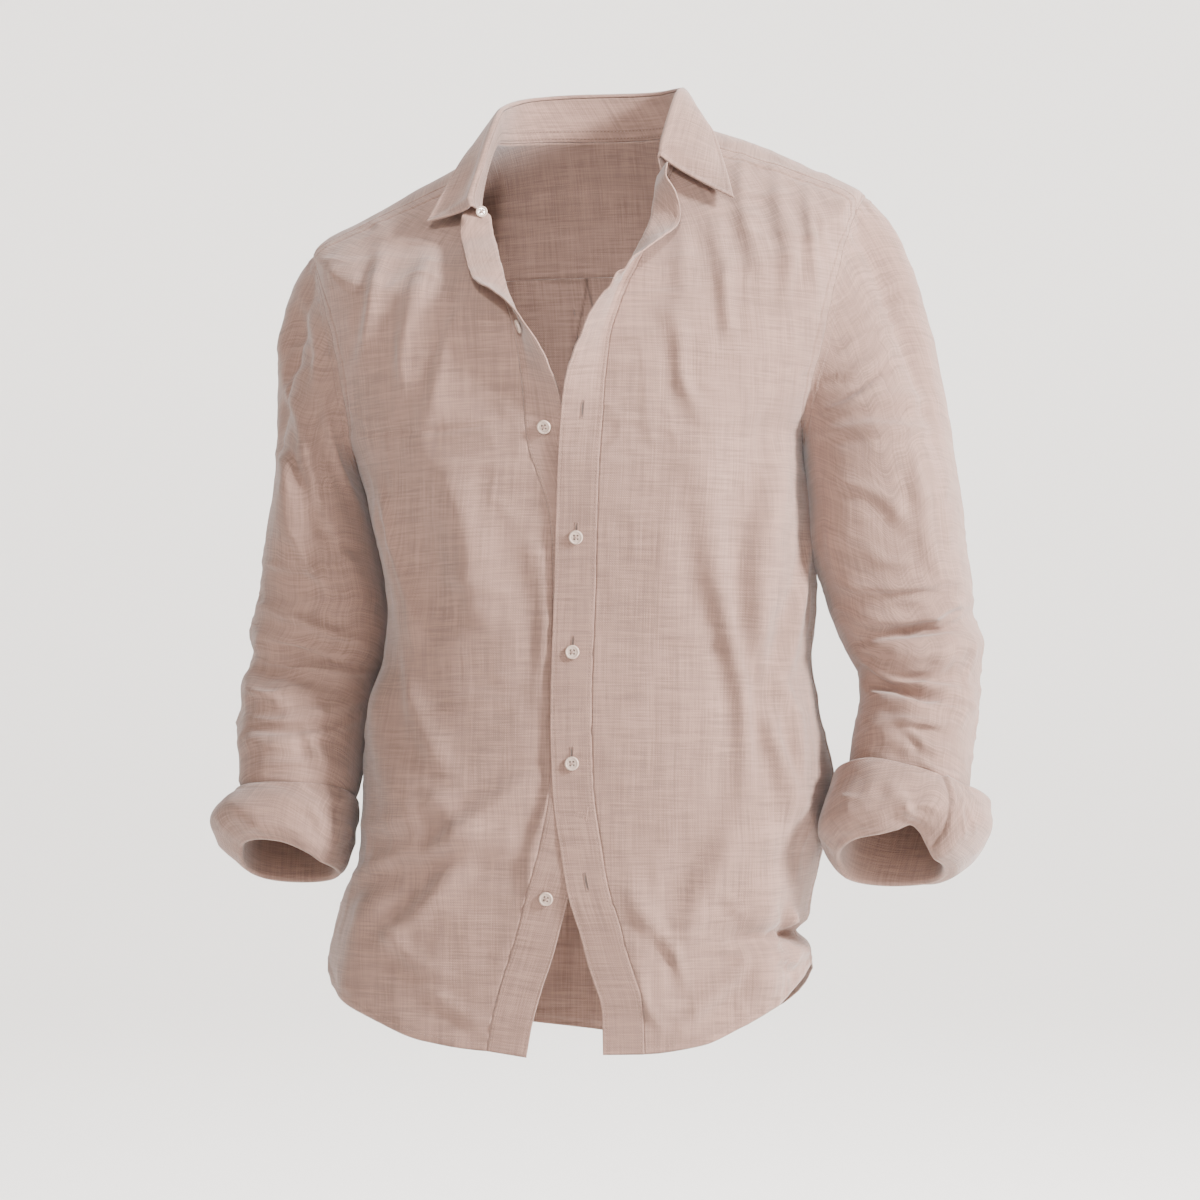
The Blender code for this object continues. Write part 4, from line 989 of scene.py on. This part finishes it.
# The waves beside a seam: their lengths, their rise, and how far they reach from it.
PUCKER_WAVES, PUCKER_RISE, PUCKER_REACH = (2.1, 13.0, 31.0), 0.28, 5.0
ARMHOLE_DRAWN = 2.6            # how much stronger they are at the armhole
WORN_PALE_AND_SHADE, SEAM_SHADE = 0.3, 0.35            # tones of a worn edge, also of the leaf's painted seam shade, and of the shade painted along a row of stitches
PLEAT_LIFT, PLEAT_SHADE = 2.4, 1.3           # rise and shade at the open pleat's folds
END_RISE = 2.6                 # how far the left cuff's end stands out over it
# Where each piece is cut across the flat cloth, so that no two of them show the same threads.
BAND_CUT, YOKE_CUT, SLEEVE_CUT, CUFF_CUT, STAND_CUT, LEAF_CUT = 600.0, 1500.0, 2500.0, 3500.0, 4500.0, 5500.0


def ledge(distance, wide, rise):
    """Doubled strip along an edge: raised as far as wide, with a groove where it is sewn."""
    return rise * (1 - step(distance - wide + 0.5)) - GROOVE * mark(distance, DENT, wide + 0.4)


def pucker(distance, along, wide, seed):
    """Small waves that sewing draws up beside a seam, dying out away from it."""
    short, middle, long = PUCKER_WAVES
    wave = np.sin(along / short + 1.7 * np.sin(along / middle + seed))
    wave = wave * (0.6 + 0.4 * np.sin(along / long + seed))
    return PUCKER_RISE * wave * mark(distance, PUCKER_REACH, wide)


def hemmed(distance, along, wide, rise, seed, drawn=1.0):
    """Doubled strip along an edge, with the small waves that its sewing has drawn up."""
    return ledge(distance, wide, rise) + drawn * pucker(distance, along, wide, seed)


def seams(name, grid, facing, *rows):
    """Rows of stitches on a grid. Each row gives a distance over the grid, its value and its axis."""
    return stitches(name, [line_at(grid, facing, *row) for row in rows])


# --- Pieces --------------------------------------------------------------------------------------

def front_piece(side):
    """A front: its form from the domain grid, a hem, a felled side seam and stitched seams."""
    word = WORD[side]
    domain = front_domain(side, stations(FRONT_ROWS, 0.66, 0.5, 0.025), stations(FRONT_COLS, 0.4, 0.66, 0.06))
    grid, facing = body_cloth(domain[..., 0], domain[..., 1])
    if side < 0:
        grid = raised(grid, facing, -LAP * (1 - step(over_cloth(grid, 1) / LAP_RUN)))
    up, side_in = over_cloth(grid, 0), over_cloth(grid, 1, back=True)
    place = grain(domain[..., 0], domain[..., 1])
    rise = hemmed(up, place[..., 0], HEM_WIDE, HEM_RISE, 1.0)
    rise = rise + hemmed(side_in, place[..., 1], FELL_WIDE, FELL_RISE, 2.0)
    # paler wear along the hem's edge, and painted shade along the hem's and the side seam's stitching
    tone = WORN_PALE_AND_SHADE * mark(up, EDGE_SOFT)
    tone = tone - SEAM_SHADE * (mark(up, DENT, HEM_WIDE) + mark(side_in, DENT, FELL_WIDE))
    grid = raised(grid, facing, rise)
    piece = cloth(word + "_front_cloth", grid, place, tone, SINGLE, side > 0)
    sewn = seams(word + "_front_stitching", grid, facing,
                 (up, HEM_WIDE - 0.9, 0), (side_in, FELL_WIDE - 1.2, 1))
    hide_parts("front_" + word)
    return grid, domain


PLAIN_ROW = 40                 # a row of a band low down, where it lies flat


def middle_line(grid, facing):
    """Points and facing along the middle of a band."""
    column = int(np.argmin(np.abs(over_cloth(grid, 1)[PLAIN_ROW] - BAND / 2)))
    return grid[:, column], facing[:, column]


def frame_at(grid, facing, height):
    """Point, up and outward at the middle of a band, at a height."""
    line, out = middle_line(grid, facing)
    row = int(np.argmin(np.abs(line[:, 2] - height)))
    return line[row], unit(line[row + 3] - line[row - 3]), unit(out[row])


def along_band(grid, facing, height, t):
    """Points and facing on a band's middle line, at distances along it from a height."""
    line, out = middle_line(grid, facing)
    passed = passed_along(line)
    at = passed[np.argmin(np.abs(line[:, 2] - height))] + t
    return at_distances(at, passed, line), at_distances(at, passed, out)


def buttonhole(grid, facing, height):
    """Bars of satin stitch down both sides of a slit and across its ends, and the slit itself.

    All lie along the band's own middle line. Every bar is a bead that crosses the edge of the slit.
    The slit is a lens in the painted shade of an open hole.
    """
    up, out = frame_at(grid, facing, height)[1:]
    side = unit(np.cross(up, out))

    def bars(t, shift, along):
        """Beads at distances along the band and across it, with half of their length."""
        t, shift = np.broadcast_arrays(t, shift)
        spot, lift = along_band(grid, facing, height, t)
        middle = spot + side * shift[:, None] + lift * SATIN_RISE
        across = np.cross(lift, unit(along)) * SATIN_WIDE
        return beads(middle, along, across, lift * SATIN_OVER, lift * SATIN_UNDER)

    down = np.arange(-HOLE_HALF, HOLE_HALF + 0.1, HOLE_STEP)
    bodies = [bars(down, hand * HOLE_WIDE, side * SATIN_SIDE) for hand in (-1, 1)]
    bodies += [bars(end * (HOLE_HALF + 0.5), np.arange(-1.2, 1.3, 0.4), up * SATIN_END) for end in (-1, 1)]
    s = np.linspace(-1, 1, 15)
    wide = HOLE_SLIT * np.sqrt(np.maximum(1 - s * s, 0.02))[:, None]
    row, lift = along_band(grid, facing, height, s * (HOLE_HALF - 0.4))
    row = row + lift * 0.22
    return np.concatenate(bodies), np.stack([row - side * wide, row + side * wide], 1)


def buttonholes(name, grid, facing):
    """The left band's buttonholes as one mesh: satin stitches, and slits in their own shade."""
    bars, slits = zip(*(buttonhole(grid, facing, height) for height in HOLES))
    bars, slits = np.concatenate(bars), np.stack(slits)
    index = 6 * len(bars) + np.arange(slits.size // 3).reshape(slits.shape[:3]).swapaxes(0, 1)
    sewn = bead_faces(len(bars)).tolist()
    dark = quads_between(index[..., 0], index[..., 1]).tolist()
    points = np.concatenate([bars.reshape(-1, 3), slits.reshape(-1, 3)])
    obj = made(name, points, sewn + dark, [THREAD, DARK])
    obj.data.polygons.foreach_set("material_index", [0] * len(sewn) + [1] * len(dark))
    return obj


def band_piece(side, panel, domain):
    """A front band: each row runs on from the front's edge toward the centre, then turns outward."""
    word = WORD[side]
    base = panel[:, 0]
    along = unit(np.gradient(base, axis=0))
    angle, level = domain[:, 0, 0], domain[:, 0, 1]
    toward = torso(angle - side * BAND_TURN, level) - torso(angle, level)
    more = np.linspace(0, 1, 10)[1:, None]
    base = np.vstack([base, base[-1] + along[-4] * BAND_TOP * more])
    toward = np.vstack([toward, np.repeat(toward[-1:], len(more), axis=0)])
    base, toward = smooth_rows(base, 2), smooth_rows(toward, 10)
    along = smooth_rows(unit(np.gradient(base, axis=0)), 10)
    toward = unit(toward - along * np.sum(toward * along, -1, keepdims=True))
    out = unit(np.cross(along, toward)) * side
    roll = np.radians(ease(ROLL[side], base[:, 2]))
    fine = np.linspace(0, BAND, 200)
    turn = roll[:, None] * step(fine / ROLL_RUN)[None]
    columns = BAND * stations(BAND_COLS, 0.5, 0.6, 0.12)
    width = np.diff(fine, prepend=0.0)[None]
    at = np.clip(columns / (BAND / (len(fine) - 1)), 0, len(fine) - 1).astype(int)
    run, lift = (np.cumsum(part * width, 1)[:, at, None] for part in (np.cos(turn), np.sin(turn)))
    grid = base[:, None] + toward[:, None] * run + out[:, None] * lift
    third = len(grid) // 3
    facing = turned_to(normals(grid), (third, 5), out[third])
    up = over_cloth(grid, 0)
    flat = np.broadcast_to(columns, up.shape)
    edge = np.minimum(flat, BAND - flat)
    rise = 0.7 * step(flat / 1.6) - 0.25 * mark(edge, DENT, BAND_SEAM)
    rise = rise + uneven(grid, BAND_FINE) * step(edge / 6) + 0.8 * pucker(edge, up, BAND_SEAM, 3.0)
    grid = raised(grid, facing, rise)
    place = np.stack([side * (BAND_CUT + flat), up], -1)
    # paler along the band's free edge, and a painted shadow where it steps up from the front
    tone = 0.35 * mark(BAND - flat, 1.0) - 0.2 * mark(flat, 0.9)
    piece = cloth(word + "_band_cloth", grid, place, tone, DOUBLE, side < 0)
    sewn = [seams(word + "_band_stitching", grid, facing, (flat, BAND_SEAM, 1), (flat, BAND - BAND_SEAM, 1))]
    if side > 0:
        sewn.append(buttonholes("left_band_buttonholes", grid, facing))
    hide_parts("band_" + word)
    return grid, facing


def back_piece():
    """The back: the form with its box pleat, a hem and felled side seams."""
    r, c = stations(BACK_ROWS, 0.66, 0.6, 0.025), stations(BACK_COLS, 0.6, 0.6, 0.03)
    domain = back_domain(r, np.unique(np.concatenate([c, np.linspace(*PLEAT_SPAN, PLEAT_COLS)])))
    grid, facing = body_cloth(domain[..., 0], domain[..., 1])
    up, down = over_cloth(grid, 0), over_cloth(grid, 0, back=True)
    sides = np.minimum(over_cloth(grid, 1), over_cloth(grid, 1, back=True))
    place = grain(domain[..., 0], domain[..., 1], 180.0)
    rise = hemmed(up, place[..., 0], HEM_WIDE, HEM_RISE, 4.0) + pucker(down, place[..., 0], 0.0, 5.0)
    rise = rise - 0.4 * (mark(sides, 1.4) + mark(down, 1.4))
    # paler wear along the hem's edge, painted shade along its stitching, and painted shade along the top
    # where the yoke's edge lies over it
    tone = WORN_PALE_AND_SHADE * mark(up, EDGE_SOFT) - SEAM_SHADE * mark(up, DENT, HEM_WIDE)
    tone = tone - 0.7 * mark(down, 1.6)
    opened = PLEAT_EDGE * step((down + 8.0) / PLEAT_RUN)
    opened = opened * np.clip((PLEAT_END - down) / PLEAT_FADE, 0, 1)
    past = np.abs(grid[..., 0] - PLEAT_X) - opened
    rise = rise + PLEAT_LIFT * step(0.5 - past / 2.0) * step(down / 6.0) * step(3 * opened)
    # painted shade along the open pleat's folds
    tone = tone - PLEAT_SHADE * mark(past, 1.1) * step(3 * opened)
    grid = raised(grid, facing, rise)
    grid[-1] += unit(grid[-1] - grid[-3]) * 1.8 - facing[-1] * 0.5
    piece = cloth("back_cloth", grid, place, tone, SINGLE)
    sewn = seams("back_stitching", grid, facing, (up, HEM_WIDE - 0.9, 0))
    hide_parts("back")


def yoke_piece():
    """The yoke: over both shoulders, sewn down along its lower edge."""
    domain = yoke_domain(stations(YOKE_RINGS, 0.6, 0.3, 0.06), stations(YOKE_ROUND))
    grid, facing = body_cloth(domain[..., 0], domain[..., 1])
    up = over_cloth(grid, 0)
    ends = np.minimum(over_cloth(grid, 1), over_cloth(grid, 1, back=True))
    place = np.stack([grid[..., 0] + YOKE_CUT, grid[..., 2] - 0.8 * grid[..., 1]], -1)
    rise = hemmed(up, place[..., 0], YOKE_SEAM, YOKE_RISE, 6.0) + ledge(ends, YOKE_SEAM, YOKE_END_RISE)
    # painted shade along the stitching and along the lower edge, where the yoke lies over the cloth below
    tone = -0.3 * mark(up, DENT, YOKE_SEAM) - 0.6 * mark(up, EDGE_SOFT)
    grid = raised(grid, facing, rise)
    piece = cloth("yoke_cloth", grid, place, tone, SINGLE)
    inside = YOKE_SEAM - 0.9
    sewn = seams("yoke_stitching", grid, facing, (up, inside, 0), (over_cloth(grid, 1), inside, 1),
                 (over_cloth(grid, 1, back=True), inside, 1))
    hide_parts("yoke")


def cuff_top(side, around):
    """Height of a cuff's top edge at angles round the arm."""
    rows = CUFF[side]
    ring = sections(rows, np.full(len(around), rows[0, 0]), around, CUFF_TILT)
    return ring[:, 2] + ease(CUFF_TOP[side], around)


def sleeve_piece(side):
    """A sleeve: the armhole's cloth carried into rings down the arm, creased at the elbow."""
    word, rows = WORD[side], SLEEVE[side]
    around = np.linspace(0, 360, SLEEVE_COLS + 1)[:-1]
    a, t = np.meshgrid(around, stations(CAP_ROWS, 0.6, 0.0, 0.06)[:-1])
    a2, h2 = np.meshgrid(around, np.linspace(0, 1, SLEEVE_ROWS))
    last = rows[-1, 0] + SLEEVE_SHORT + SLEEVE_LEAN * np.sin(np.radians(a2))
    h2 = rows[0, 0] + (last - rows[0, 0]) * h2
    grid = np.vstack([sleeve_cap(side, rows, a, t), sections(rows, h2, a2)])
    angle = np.vstack([a, a2])
    away = unit((grid - grid.mean(axis=1, keepdims=True)) * (1, 1, 0.2))
    outer, inner = (np.clip(way * np.cos(np.radians(angle)), 0, 1) for way in (1, -1))
    begun = np.vstack([step(t / 0.5), np.ones_like(a2)])
    lift = folds(angle, grid[..., 2], SLEEVE_FOLDS[side], 1.0) * begun
    lift = lift * step((grid[..., 2] - rows[-3, 0]) / 30.0 + 0.2)
    lift = np.where(lift > 0, lift * (1 - inner), lift) * (1 - 0.5 * outer)
    grid = raised(grid, away, lift + ease(SWELL[side], grid[..., 2]) * inner ** 1.5)
    facing = turned_to(ring_normals(grid), (100, 0), away[100, 0])
    begin = step(over_cloth(grid, 0) / 34.0)
    to_camera = faces_camera(facing)
    across, height = seen(grid)
    relief = creases(across, height, ARM_CREASES[side]) * step((to_camera + 0.1) / 0.4)
    hidden = step((0.2 - to_camera) / 0.4)
    for turn in (-360, 0, 360):
        relief = relief + creases(angle + turn, grid[..., 2], ARM_BACK_CREASES) * hidden
    elbow = mark(grid[..., 2], 75.0, -50.0)
    relief = relief + (0.3 + 0.7 * elbow) * uneven(grid, ELBOW_FINE) + uneven(grid, SLEEVE_FINE)
    relief = relief * (1 - 0.6 * inner) * step((grid[..., 2] - rows[-1, 0]) / 30.0 + 0.1)
    at = armhole(side, around)
    p, n = torso(at[:, 0], at[:, 1]), torso_normal(at[:, 0], at[:, 1])
    start = n * body_relief(p, n, at[:, 1])[:, None]
    grid = raised(grid, facing, relief * begin) + start * (1 - begin[..., None])
    down = over_cloth(grid, 0)
    ring = over_cloth(wrapped(grid), 1)
    rise = hemmed(down, ring[:, :-1], ARMHOLE_SEAM, ARMHOLE_RISE, 7.0, ARMHOLE_DRAWN)
    above = grid[..., 2] - cuff_top(side, around)
    rise = rise - 1.2 * mark(above, 5.0, 2.0)
    # painted shade along the armhole's stitching and edge, and a painted shadow on the sleeve just above the
    # cuff's top edge
    tone = -0.55 * mark(down, 1.0, ARMHOLE_SEAM) - 0.6 * mark(down, EDGE_SOFT) - 0.95 * mark(above, 2.6, 1.6)
    grid = raised(grid, facing, rise)
    climb = wrapped(down)
    place = np.stack([ring * SLEEVE_ROUND / ring[:, -1:] + SLEEVE_CUT, climb[-1:] - climb], -1)
    piece = cloth(word + "_sleeve_cloth", grid, place, tone, SINGLE, side > 0, closed=True)
    line = closed_line(*line_at(grid, facing, down, ARMHOLE_SEAM - 1.2, 0))
    sewn = stitches(word + "_sleeve_stitching", [line])
    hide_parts("sleeve_%s_upper" % word, "sleeve_%s_lower" % word)


def inward(ring, distance):
    """Ring drawn in toward its own middle by a distance."""
    return ring - unit(ring - ring.mean(axis=0, keepdims=True)) * distance


def cuff_piece(side):
    """A turned-back cuff: down the inside of the arm, round a narrow fold, up the outside, and in.

    The inside widens from the sleeve's own ring to the fold. The outside's rings are eased from the
    table and lean forward, and the fold is lifted round the front as in the rim's table.
    """
    word, rows, sleeve = WORD[side], CUFF[side], SLEEVE[side]
    around = np.linspace(0, 360, CUFF_COLS + 1)[:-1]
    top, low = rows[0, 0], rows[-1, 0]
    share = stations(CUFF_ROWS, 0.5, 0.5, 0.1)
    a, h = np.meshgrid(around, low + (top - low) * share)
    lift = ease(RIM[side], around) * (1 - step(share / 0.6))[:, None]
    lift = lift + ease(CUFF_TOP[side], around) * (share ** 1.5)[:, None]
    outer = raised(sections(rows, h, a, CUFF_TILT), UP, lift)
    fold = [inward(outer[0], d) - UP * drop for d, drop in CUFF_FOLD]
    high = np.full(CUFF_COLS, sleeve[-1, 0] + CUFF_REACH)
    end = inward(sections(sleeve, high, around), 4.0)
    k = np.linspace(1, 0, CUFF_INNER_ROWS)[:-1, None, None]
    inner = fold[0] + (end - fold[0]) * k
    inner = inner + unit(inner - inner.mean(axis=1, keepdims=True)) * -1.2 * np.sin(math.pi * k) * (1, 1, 0)
    hem = [inward(outer[-1], d) + UP * climb for d, climb in CUFF_HEM]
    grid = np.vstack([inner, fold, outer, hem])
    first, half = len(inner) + len(fold), CUFF_ROWS // 2
    facing = turned_to(ring_normals(grid), (first + half, 0), outer[half, 0] - outer[half].mean(axis=0))
    up = over_cloth(grid, 0)
    start, stop = up[first - 1], up[len(grid) - len(hem)]
    across, height = seen(grid)
    relief = uneven(grid, CUFF_FINE) + creases(across, height, CUFF_CREASES[side])
    relief = relief * step((up - start) / 8.0) * step((stop - up) / 5.0) + uneven(grid, INNER_FINE)
    tone = 0.35 * mark(up - stop, 1.0) + 0.15 * mark(up - start, 1.4)
    if side > 0:
        past = across - ease(CUFF_END, height)
        front = step((faces_camera(facing) + 0.5) / 0.4) * step((up - start) / 5.0)
        relief = relief + front * (END_RISE * step(past / 1.6) - 0.6 * mark(past, 1.2, -1.2)
                                   - 0.3 * mark(past, 0.8, 4.0))
        # on the end: a painted highlight along its edge, a painted shadow where it lies over the cuff, and
        # painted shade along the groove of its stitches
        tone = tone + front * (0.3 * mark(past, 0.9, 1.2) - 0.9 * mark(past, 1.1, -0.4)
                               - 0.35 * mark(past, 0.8, 4.0))
    grid = raised(grid, facing, relief)
    wide = wrapped(grid)
    ring = over_cloth(wide, 1)
    place = np.stack([ring * CUFF_ROUND / ring[:, -1:] + CUFF_CUT, over_cloth(wide, 0)], -1)
    piece = cloth(word + "_cuff_cloth", grid, place, tone, CUFF_WALL, side > 0, closed=True)
    line = len(grid) - len(hem) - 4
    sewn = stitches(word + "_cuff_stitching", [closed_line(grid[line], facing[line])])
    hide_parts("cuff_" + word)


def collar_pieces():
    """Stand from the neck seam up to the fold, and the leaf over it."""
    first = -edge_angle(-1, np.array([NECK]))[0] + 3.0
    last = 360.0 - edge_angle(1, np.array([NECK]))[0] - 3.0
    turn = first + (last - first) * stations(COLLAR_COLS, 0.6, 0.6, 0.03)
    seam, fold, outward, up = neck_line(turn)
    foot = seam + up * 0.4
    stand = foot + (fold - foot) * stations(STAND_ROWS, 0.4, 0.0, 0.2)[:, None, None]
    facing = turned_to(normals(stand), (8, 95), outward[95])
    height = over_cloth(stand, 0)
    place = np.stack([over_cloth(stand, 1) + STAND_CUT, height], -1)
    stand = raised(stand, facing, 0.5 * mark(height, 3.0))
    # painted shade along both rows of stitches on the stand
    tone = -1.3 * sum(mark(height, 0.8, seam_at) for seam_at in STAND_SEAMS)
    piece = cloth("collar_stand_cloth", stand, place, tone, DOUBLE, False)
    inside = stand - facing * DOUBLE
    rows = [line_at(inside, -facing, height, seam_at, 0) for seam_at in STAND_SEAMS]
    sewn = stitches("collar_stand_stitching", rows + [line_at(stand, facing, height, STAND_SEAMS[0], 0)])
    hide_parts("collar_stand")
    leaf_piece(turn, fold, outward, up)


def leaf_piece(turn, fold, outward, up):
    """Collar leaf: over the stand's top and down to its own edge in a bowed curve."""
    over = ease(LEAF_TOP, np.linspace(0, 1, 10))
    top = fold + outward * over[:, :1, None] + up * over[:, 1:, None]
    start, edge = top[-1], ease(LEAF, turn)
    bow = start + outward * LEAF_BOW[0] - up * LEAF_BOW[1]
    s = stations(LEAF_ROWS, 0.3, 0.6, 0.08)[1:, None, None]
    leaf = np.concatenate([top, start * (1 - s) ** 2 + bow * 2 * s * (1 - s) + edge * s * s])
    facing = turned_to(normals(leaf), (20, 95), outward[95])
    sides = ((0, True), (1, False), (1, True))
    to_edge = np.min([over_cloth(leaf, axis, back) for axis, back in sides], axis=0)
    rise = 0.35 * step((LEAF_SEAM - to_edge) / 1.6) - 0.25 * mark(to_edge, DENT, LEAF_SEAM)
    leaf = raised(leaf, facing, rise + uneven(leaf, LEAF_FINE) * step(to_edge / 8.0))
    place = np.stack([over_cloth(leaf, 1) + LEAF_CUT, over_cloth(leaf, 0)], -1)
    # paler wear along the leaf's edge, and painted shade along its stitching
    tone = WORN_PALE_AND_SHADE * (mark(to_edge, 1.0) - mark(to_edge, DENT, LEAF_SEAM))
    piece = cloth("collar_leaf_cloth", leaf, place, tone, LEAF_WALL)
    sewn = seams("collar_leaf_stitching", leaf, facing,
                 *((over_cloth(leaf, axis, back), LEAF_SEAM, axis) for axis, back in sides))
    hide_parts("collar_leaf")


def button_piece(number, centre, up, out, radius):
    """Four-hole button: a disc with a raised rim, dished middle and four holes, and crossed thread.

    Its rings run from the middle of the face to the edge and back to the middle of the underside.
    """
    side = unit(np.cross(up, out))
    up = np.cross(out, side)
    under = np.array([(1.0, -0.5), (0.9, -1.0), (0.001, -1.0)])
    r = np.concatenate([np.linspace(0, 0.6, 19), np.linspace(0.65, 1.0, 10), under[:, 0]])
    r, a = np.meshgrid(r, np.radians(np.arange(0, 360, 6.0)), indexing="ij")
    x, z = r * np.cos(a), r * np.sin(a)
    spots = [(x_at, z_at) for x_at in (HOLE_AT, -HOLE_AT) for z_at in (HOLE_AT, -HOLE_AT)]
    hole = np.min([np.hypot(x - x_at, z - z_at) for x_at, z_at in spots], axis=0)
    face = 0.5 + 0.28 * mark(r, 0.1, 0.84) - 0.10 * (r < 0.7) - 0.5 * step((r - 0.92) / 0.08)
    face = face - 0.7 * (hole < HOLE_R)
    face[-len(under):] = under[:, 1:]
    points = raised(centre + radius * (x[..., None] * side + z[..., None] * up), out, face * BUTTON_THICK / 2)
    index = np.arange(x.size).reshape(x.shape)
    quads = quads_between(index, np.roll(index, -1, axis=1))[:, (0, 3, 2, 1)]
    obj = made("shirt_button_%d" % number, points, quads.tolist(), [SHELL, DARK])
    # the holes' faces take the painted shade of the dark finish
    near = hole < HOLE_R * 1.05
    obj.data.polygons.foreach_set("material_index", (near[:-1] & near[1:]).ravel().astype(int).tolist())
    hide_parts("button_%d" % number)
    thread_piece(number, centre + out * BUTTON_THICK * 0.2, side, up, out, radius)


def thread_piece(number, centre, side, up, out, radius):
    """Crossed thread through a button's four holes: two bowed cords of eight sides."""
    t = np.linspace(-1, 1, 13)[:, None]
    a = np.radians(np.arange(0, 360, 45))[:, None]
    cords = []
    for turn in (1, -1):
        along, wide = unit(side + turn * up), unit(side - turn * up)
        line = centre + along * (t * 0.31 * radius) + out * (0.34 * (1 - t ** 4) - 0.25 * t ** 8)
        cords.append(line[:, None] + CORD_R * (wide * np.cos(a) * 1.5 + out * np.sin(a)))
    points = np.stack(cords)
    index = np.arange(points.size // 3).reshape(points.shape[:3]).swapaxes(0, 1)
    quads = quads_between(index, np.roll(index, -1, axis=2))
    made("button_thread_%d" % number, points, quads.tolist(), [THREAD])


# --- Stage, light and camera ---------------------------------------------------------------------

# Half section of the floor and the wall, in metres: distance from the middle, and height.
FLOOR = np.array([(0.0, 0.0), (3.0, 0.0), (5.0, 0.05), (6.5, 0.5), (7.4, 1.6), (7.6, 3.2), (7.6, 7.0)])
FLOOR_Z = -1.3                 # height of the floor's middle, in metres
FLOOR_ROWS, FLOOR_COLS = 50, 96
STUDIO = (0.0, 0.0, -0.35)     # the point that the large lamps face
# Name, place, size, watts and the point it faces.
LAMPS = (("key", (2.7, -1.2, 1.0), 0.5, 400.0, STUDIO), ("fill", (0.2, -3.5, 0.75), 1.0, 75.0, STUDIO),
         ("rim", (2.4, 1.8, 0.9), 0.8, 60.0, STUDIO), ("wall", (0.0, 1.2, 3.2), 3.0, 700.0, (0.6, 7.0, 0.0)))


def stage():
    """Pale floor that sweeps up into a round wall, far from the shirt."""
    arc = passed_along(FLOOR)
    r, z = ease(np.column_stack([arc / arc[-1], FLOOR]), np.linspace(0, 1, FLOOR_ROWS)).T[..., None]
    a = np.linspace(0, 2 * math.pi, FLOOR_COLS + 1)[:-1]
    points = np.stack(np.broadcast_arrays(r * np.cos(a), r * np.sin(a), z + FLOOR_Z), -1)
    index = np.arange(FLOOR_ROWS * FLOOR_COLS).reshape(FLOOR_ROWS, FLOOR_COLS)
    mesh = bpy.data.meshes.new("floor")
    mesh.from_pydata(points.reshape(-1, 3).tolist(), [],
                     quads_between(index, np.roll(index, -1, axis=1)).tolist())
    mesh.shade_smooth()
    floor = bpy.data.objects.new("floor", mesh)
    bpy.context.scene.collection.objects.link(floor)
    f = Finish("pale_floor")
    f.surface(Base_Color=rgb(PALE), Roughness=0.9)
    mesh.materials.append(f.material)


def lamp(name, place, size, power, aim, kind="AREA"):
    """Soft lamp that faces a point."""
    data = bpy.data.lights.new(name, kind)
    if kind == "AREA":
        data.size = size
    else:
        data.shadow_soft_size = size
    data.energy = power
    obj = bpy.data.objects.new(name, data)
    bpy.context.scene.collection.objects.link(obj)
    obj.location = place
    obj.rotation_euler = (Vector(aim) - Vector(place)).to_track_quat("-Z", "Y").to_euler()
    return data


def camera():
    """Camera of the photo: level, far enough away that it sees the shirt almost flat."""
    data = bpy.data.cameras.new("camera")
    data.sensor_width = SENSOR
    data.lens = SENSOR * VIEW_FAR * MM / VIEW_WIDE
    obj = bpy.data.objects.new("camera", data)
    bpy.context.scene.collection.objects.link(obj)
    target = -Vector(NECK_REST) * MM
    away = Vector((math.sin(VIEW_TURN), -math.cos(VIEW_TURN), 0.0))
    obj.location = target + away * VIEW_FAR * MM
    obj.rotation_euler = (-away).to_track_quat("-Z", "Y").to_euler()
    bpy.context.scene.camera = obj


def light():
    """Soft studio light, strongest from the upper right of the picture."""
    world = bpy.data.worlds.new("studio")
    world.use_nodes = True
    background = world.node_tree.nodes["Background"]
    background.inputs[0].default_value = (1.0, 0.975, 0.945, 1.0)
    background.inputs[1].default_value = 0.2
    bpy.context.scene.world = world
    for row in LAMPS:
        lamp(*row)
    inside = lamp("inside", (0.3, -3.3, 0.95), 0.2, 720.0, (-0.01, 0.03, -0.12), "SPOT")
    inside.spot_size, inside.spot_blend = math.radians(7.5), 1.0


yoke_piece()
for hand in (-1, 1):
    panel, area = front_piece(hand)
    strip, strip_out = band_piece(hand, panel, area)
    sleeve_piece(hand)
    cuff_piece(hand)
    for number, (word, height, gap) in enumerate(BUTTONS, 2):
        if word == WORD[hand]:
            spot, rising, out = frame_at(strip, strip_out, height)
            button_piece(number, spot + out * (gap + BUTTON_THICK / 2), rising, out, BUTTON_R)
back_piece()
collar_pieces()
outward = unit(STAND_BUTTON_OUT)
button_piece(1, STAND_BUTTON + outward * (0.4 + BUTTON_THICK / 2), UP, outward, STAND_BUTTON_R)

stage()
light()
camera()
